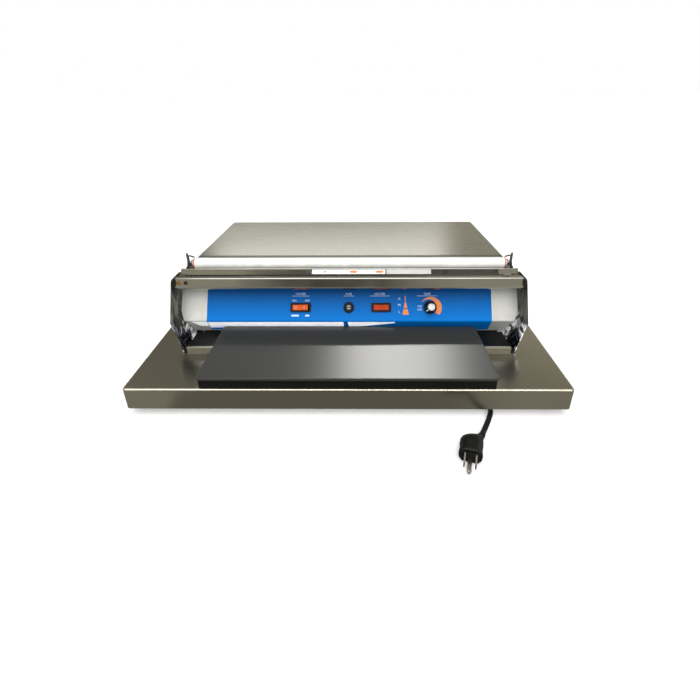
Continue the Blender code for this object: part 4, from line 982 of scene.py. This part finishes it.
def make_world():
    """White to the camera, soft light for matte surfaces, and a dim room with bright parts in reflections."""
    studio = bpy.data.worlds.new("studio")
    bpy.context.scene.world = studio
    studio.use_nodes = True
    tree = studio.node_tree
    tree.nodes.clear()
    out = tree.nodes.new("ShaderNodeOutputWorld")
    rays = tree.nodes.new("ShaderNodeLightPath").outputs
    x, y, z = place_axes(tree, "Generated")

    ahead = ramp(tree, y, -0.15, -0.35, 0.0, 1.0)
    overhead = maths(tree, "MULTIPLY", ahead, ramp(tree, z, 0.55, 0.75, 0.0, 1.0))
    sides = maths(tree, "ADD", ramp(tree, x, -0.25, -0.235, 0.22, -0.045), ramp(tree, x, 0.02, 0.22, 0.0, 0.26))
    lobes = maths(tree, "MULTIPLY", overhead, sides)
    right = maths(tree, "MULTIPLY", ramp(tree, x, 0.05, 0.40, 0.0, 0.26), ramp(tree, z, 0.51, 0.58, 1.0, 0.0))
    level = maths(tree, "ADD", maths(tree, "ADD", 0.13, lobes), right)

    beside = ramp(tree, maths(tree, "ABSOLUTE", x), 0.48, 0.70, 0.0, 1.0)
    behind = maths(tree, "MULTIPLY", ramp(tree, z, 0.66, 0.76, 0.0, 1.0), ramp(tree, y, -0.05, 0.10, 0.0, 1.0))
    above = maths(tree, "MAXIMUM", behind, ramp(tree, z, 0.93, 0.97, 0.0, 1.0))
    in_front = maths(tree, "MULTIPLY", ramp(tree, y, -0.1, -0.3, 0.0, 1.0), ramp(tree, z, 0.40, 0.52, 1.0, 0.0))
    open_room = maths(tree, "MAXIMUM", maths(tree, "MAXIMUM", beside, above), in_front)

    def background(colour, strength):
        return source_of(tree, "ShaderNodeBackground", colour, strength)

    mirrored = mixed(tree, open_room, background((1.0, 0.94, 0.72), level), background((0.62, 0.62, 0.60), 1.0))
    unseen = mixed(tree, rays["Is Glossy Ray"], background(WHITE, 0.28), mirrored)
    surface = mixed(tree, rays["Is Camera Ray"], unseen, background(WHITE, 1.0))
    tree.links.new(surface, out.inputs["Surface"])


def make_floor():
    """A plain pale floor, which reflections show darker."""
    bm = bmesh.new()
    reach = 40.0
    bm.faces.new([bm.verts.new((x, y, 0)) for x, y in box_outline(-reach, -reach, reach, reach)])
    mesh = bpy.data.meshes.new("floor")
    bm.to_mesh(mesh)
    bm.free()
    floor = bpy.data.objects.new("floor", mesh)
    bpy.context.scene.collection.objects.link(floor)
    finish = bpy.data.materials.new("floor")
    finish.use_nodes = True
    tree = finish.node_tree
    tree.nodes.clear()
    out = tree.nodes.new("ShaderNodeOutputMaterial")
    rays = tree.nodes.new("ShaderNodeLightPath").outputs
    x, y, _ = place_axes(tree)

    def larger(first, second):
        return maths(tree, "MAXIMUM", first, second)

    ends = larger(ramp(tree, x, -0.250, -0.238, 0.24, 0.13), ramp(tree, x, 0.10, 0.26, 0.13, 0.24))
    beside = larger(ramp(tree, x, -0.38, -0.32, 0.6, 0.0), ramp(tree, x, 0.32, 0.38, 0.0, 0.6))
    outside = larger(ramp(tree, y, -0.21, -0.17, 0.0, 0.6), beside)
    mirrored = source_of(tree, "ShaderNodeEmission", (1.0, 0.94, 0.78), larger(ends, outside))

    matte = tree.nodes.new("ShaderNodeBsdfDiffuse")
    matte.inputs["Color"].default_value = (0.86, 0.86, 0.86, 1.0)
    lit = tree.nodes.new("ShaderNodeAddShader")
    tree.links.new(matte.outputs[0], lit.inputs[0])
    tree.links.new(source_of(tree, "ShaderNodeEmission", WHITE, 0.22), lit.inputs[1])
    tree.links.new(mixed(tree, rays["Is Glossy Ray"], lit.outputs[0], mirrored), out.inputs["Surface"])
    mesh.materials.append(finish)


def softbox(name, place, target, width, height, radiance, colour=WARM):
    """A rectangular lamp of a given brightness, hidden from the camera."""
    data = bpy.data.lights.new(name, "AREA")
    data.shape = "RECTANGLE"
    data.size = width
    data.size_y = height
    data.color = colour
    data.energy = radiance * pi * width * height
    lamp = bpy.data.objects.new(name, data)
    bpy.context.scene.collection.objects.link(lamp)
    lamp.location = place
    lamp.rotation_euler = (Vector(target) - Vector(place)).to_track_quat("-Z", "Y").to_euler()
    lamp.visible_camera = False
    return lamp


def only_on(lamp, pieces):
    """Keeps a small accent lamp to the named pieces."""
    group = bpy.data.collections.new(lamp.name + " pieces")
    for piece in pieces:
        group.objects.link(piece)
    lamp.light_linking.receiver_collection = group


def not_on(lamp, pieces):
    """Keeps a lamp off the named pieces."""
    only_on(lamp, pieces)
    for member in lamp.light_linking.receiver_collection.collection_objects:
        member.light_linking.link_state = "EXCLUDE"


def make_lights():
    """A soft sun, two large boxes, and three accent boxes that are linked to single pieces."""
    key = bpy.data.lights.new("key", "SUN")
    key.energy = 3.0
    key.angle = radians(60.0)
    lamp = bpy.data.objects.new("key", key)
    bpy.context.scene.collection.objects.link(lamp)
    lamp.rotation_euler = (radians(43.0), 0.0, radians(-4.0))
    lamp.visible_glossy = False
    table = softbox("table box", (-0.17, 2.0, 0.99), (0.0, 0.1, 0.13), 1.6, 0.46, 1.75)
    not_on(table, [NODES["front_bar"], NODES["cutter_channel"]])
    top = softbox("top box", (0.0, -0.30, 2.2), (0.0, -0.1, 0.1), 2.2, 1.1, 1.8)
    not_on(top, [NODES["base_deck"]])
    plate = softbox("plate box", (0.23, 0.89, 1.62), (0.08, -0.15, 0.062), 0.62, 0.05, 145.0, (1.0, 0.99, 0.97))
    only_on(plate, [NODES["hot_plate_cover"]])
    edge = softbox("edge box", (0.0, -1.2, 1.72), (0.0, -0.235, 0.045), 3.2, 0.6, 5.5)
    only_on(edge, [NODES["base_deck"]])
    # lights only the painted glare band on the panel's lower face
    glare_lamp = softbox("glare band box", (-0.08, -0.28, 0.10), (-0.08, -0.1, 0.06), 0.4, 0.06, 6.0, WHITE)
    only_on(glare_lamp, [bpy.data.objects["panel_painted_glare" + part] for part in ("", "_end", "_edge")])


def make_camera():
    """The photograph's camera, solved from the machine's straight edges."""
    data = bpy.data.cameras.new("camera")
    data.lens = 21.19
    data.sensor_width = 36.0
    data.shift_x = -0.0059
    data.shift_y = -0.0997
    data.clip_start = 0.02
    camera = bpy.data.objects.new("camera", data)
    bpy.context.scene.collection.objects.link(camera)
    turn = (Matrix.Rotation(radians(0.75), 4, "Z") @ Matrix.Rotation(radians(65.32), 4, "X")
            @ Matrix.Rotation(radians(-0.39), 4, "Z"))
    camera.matrix_world = Matrix.Translation((0.0156, -0.6529, 0.3905)) @ turn
    bpy.context.scene.camera = camera
    bpy.context.scene.view_settings.view_transform = "Standard"


mats = make_materials()
make_camera()
make_cord(mats)
finish_nodes(mats)
make_printing(mats)
make_controls(mats)
make_roller_ends(mats)
make_roller_hooks(mats)
make_recess_shade_sheet(mats)
make_label_marks(mats)
make_world()
make_floor()
make_lights()
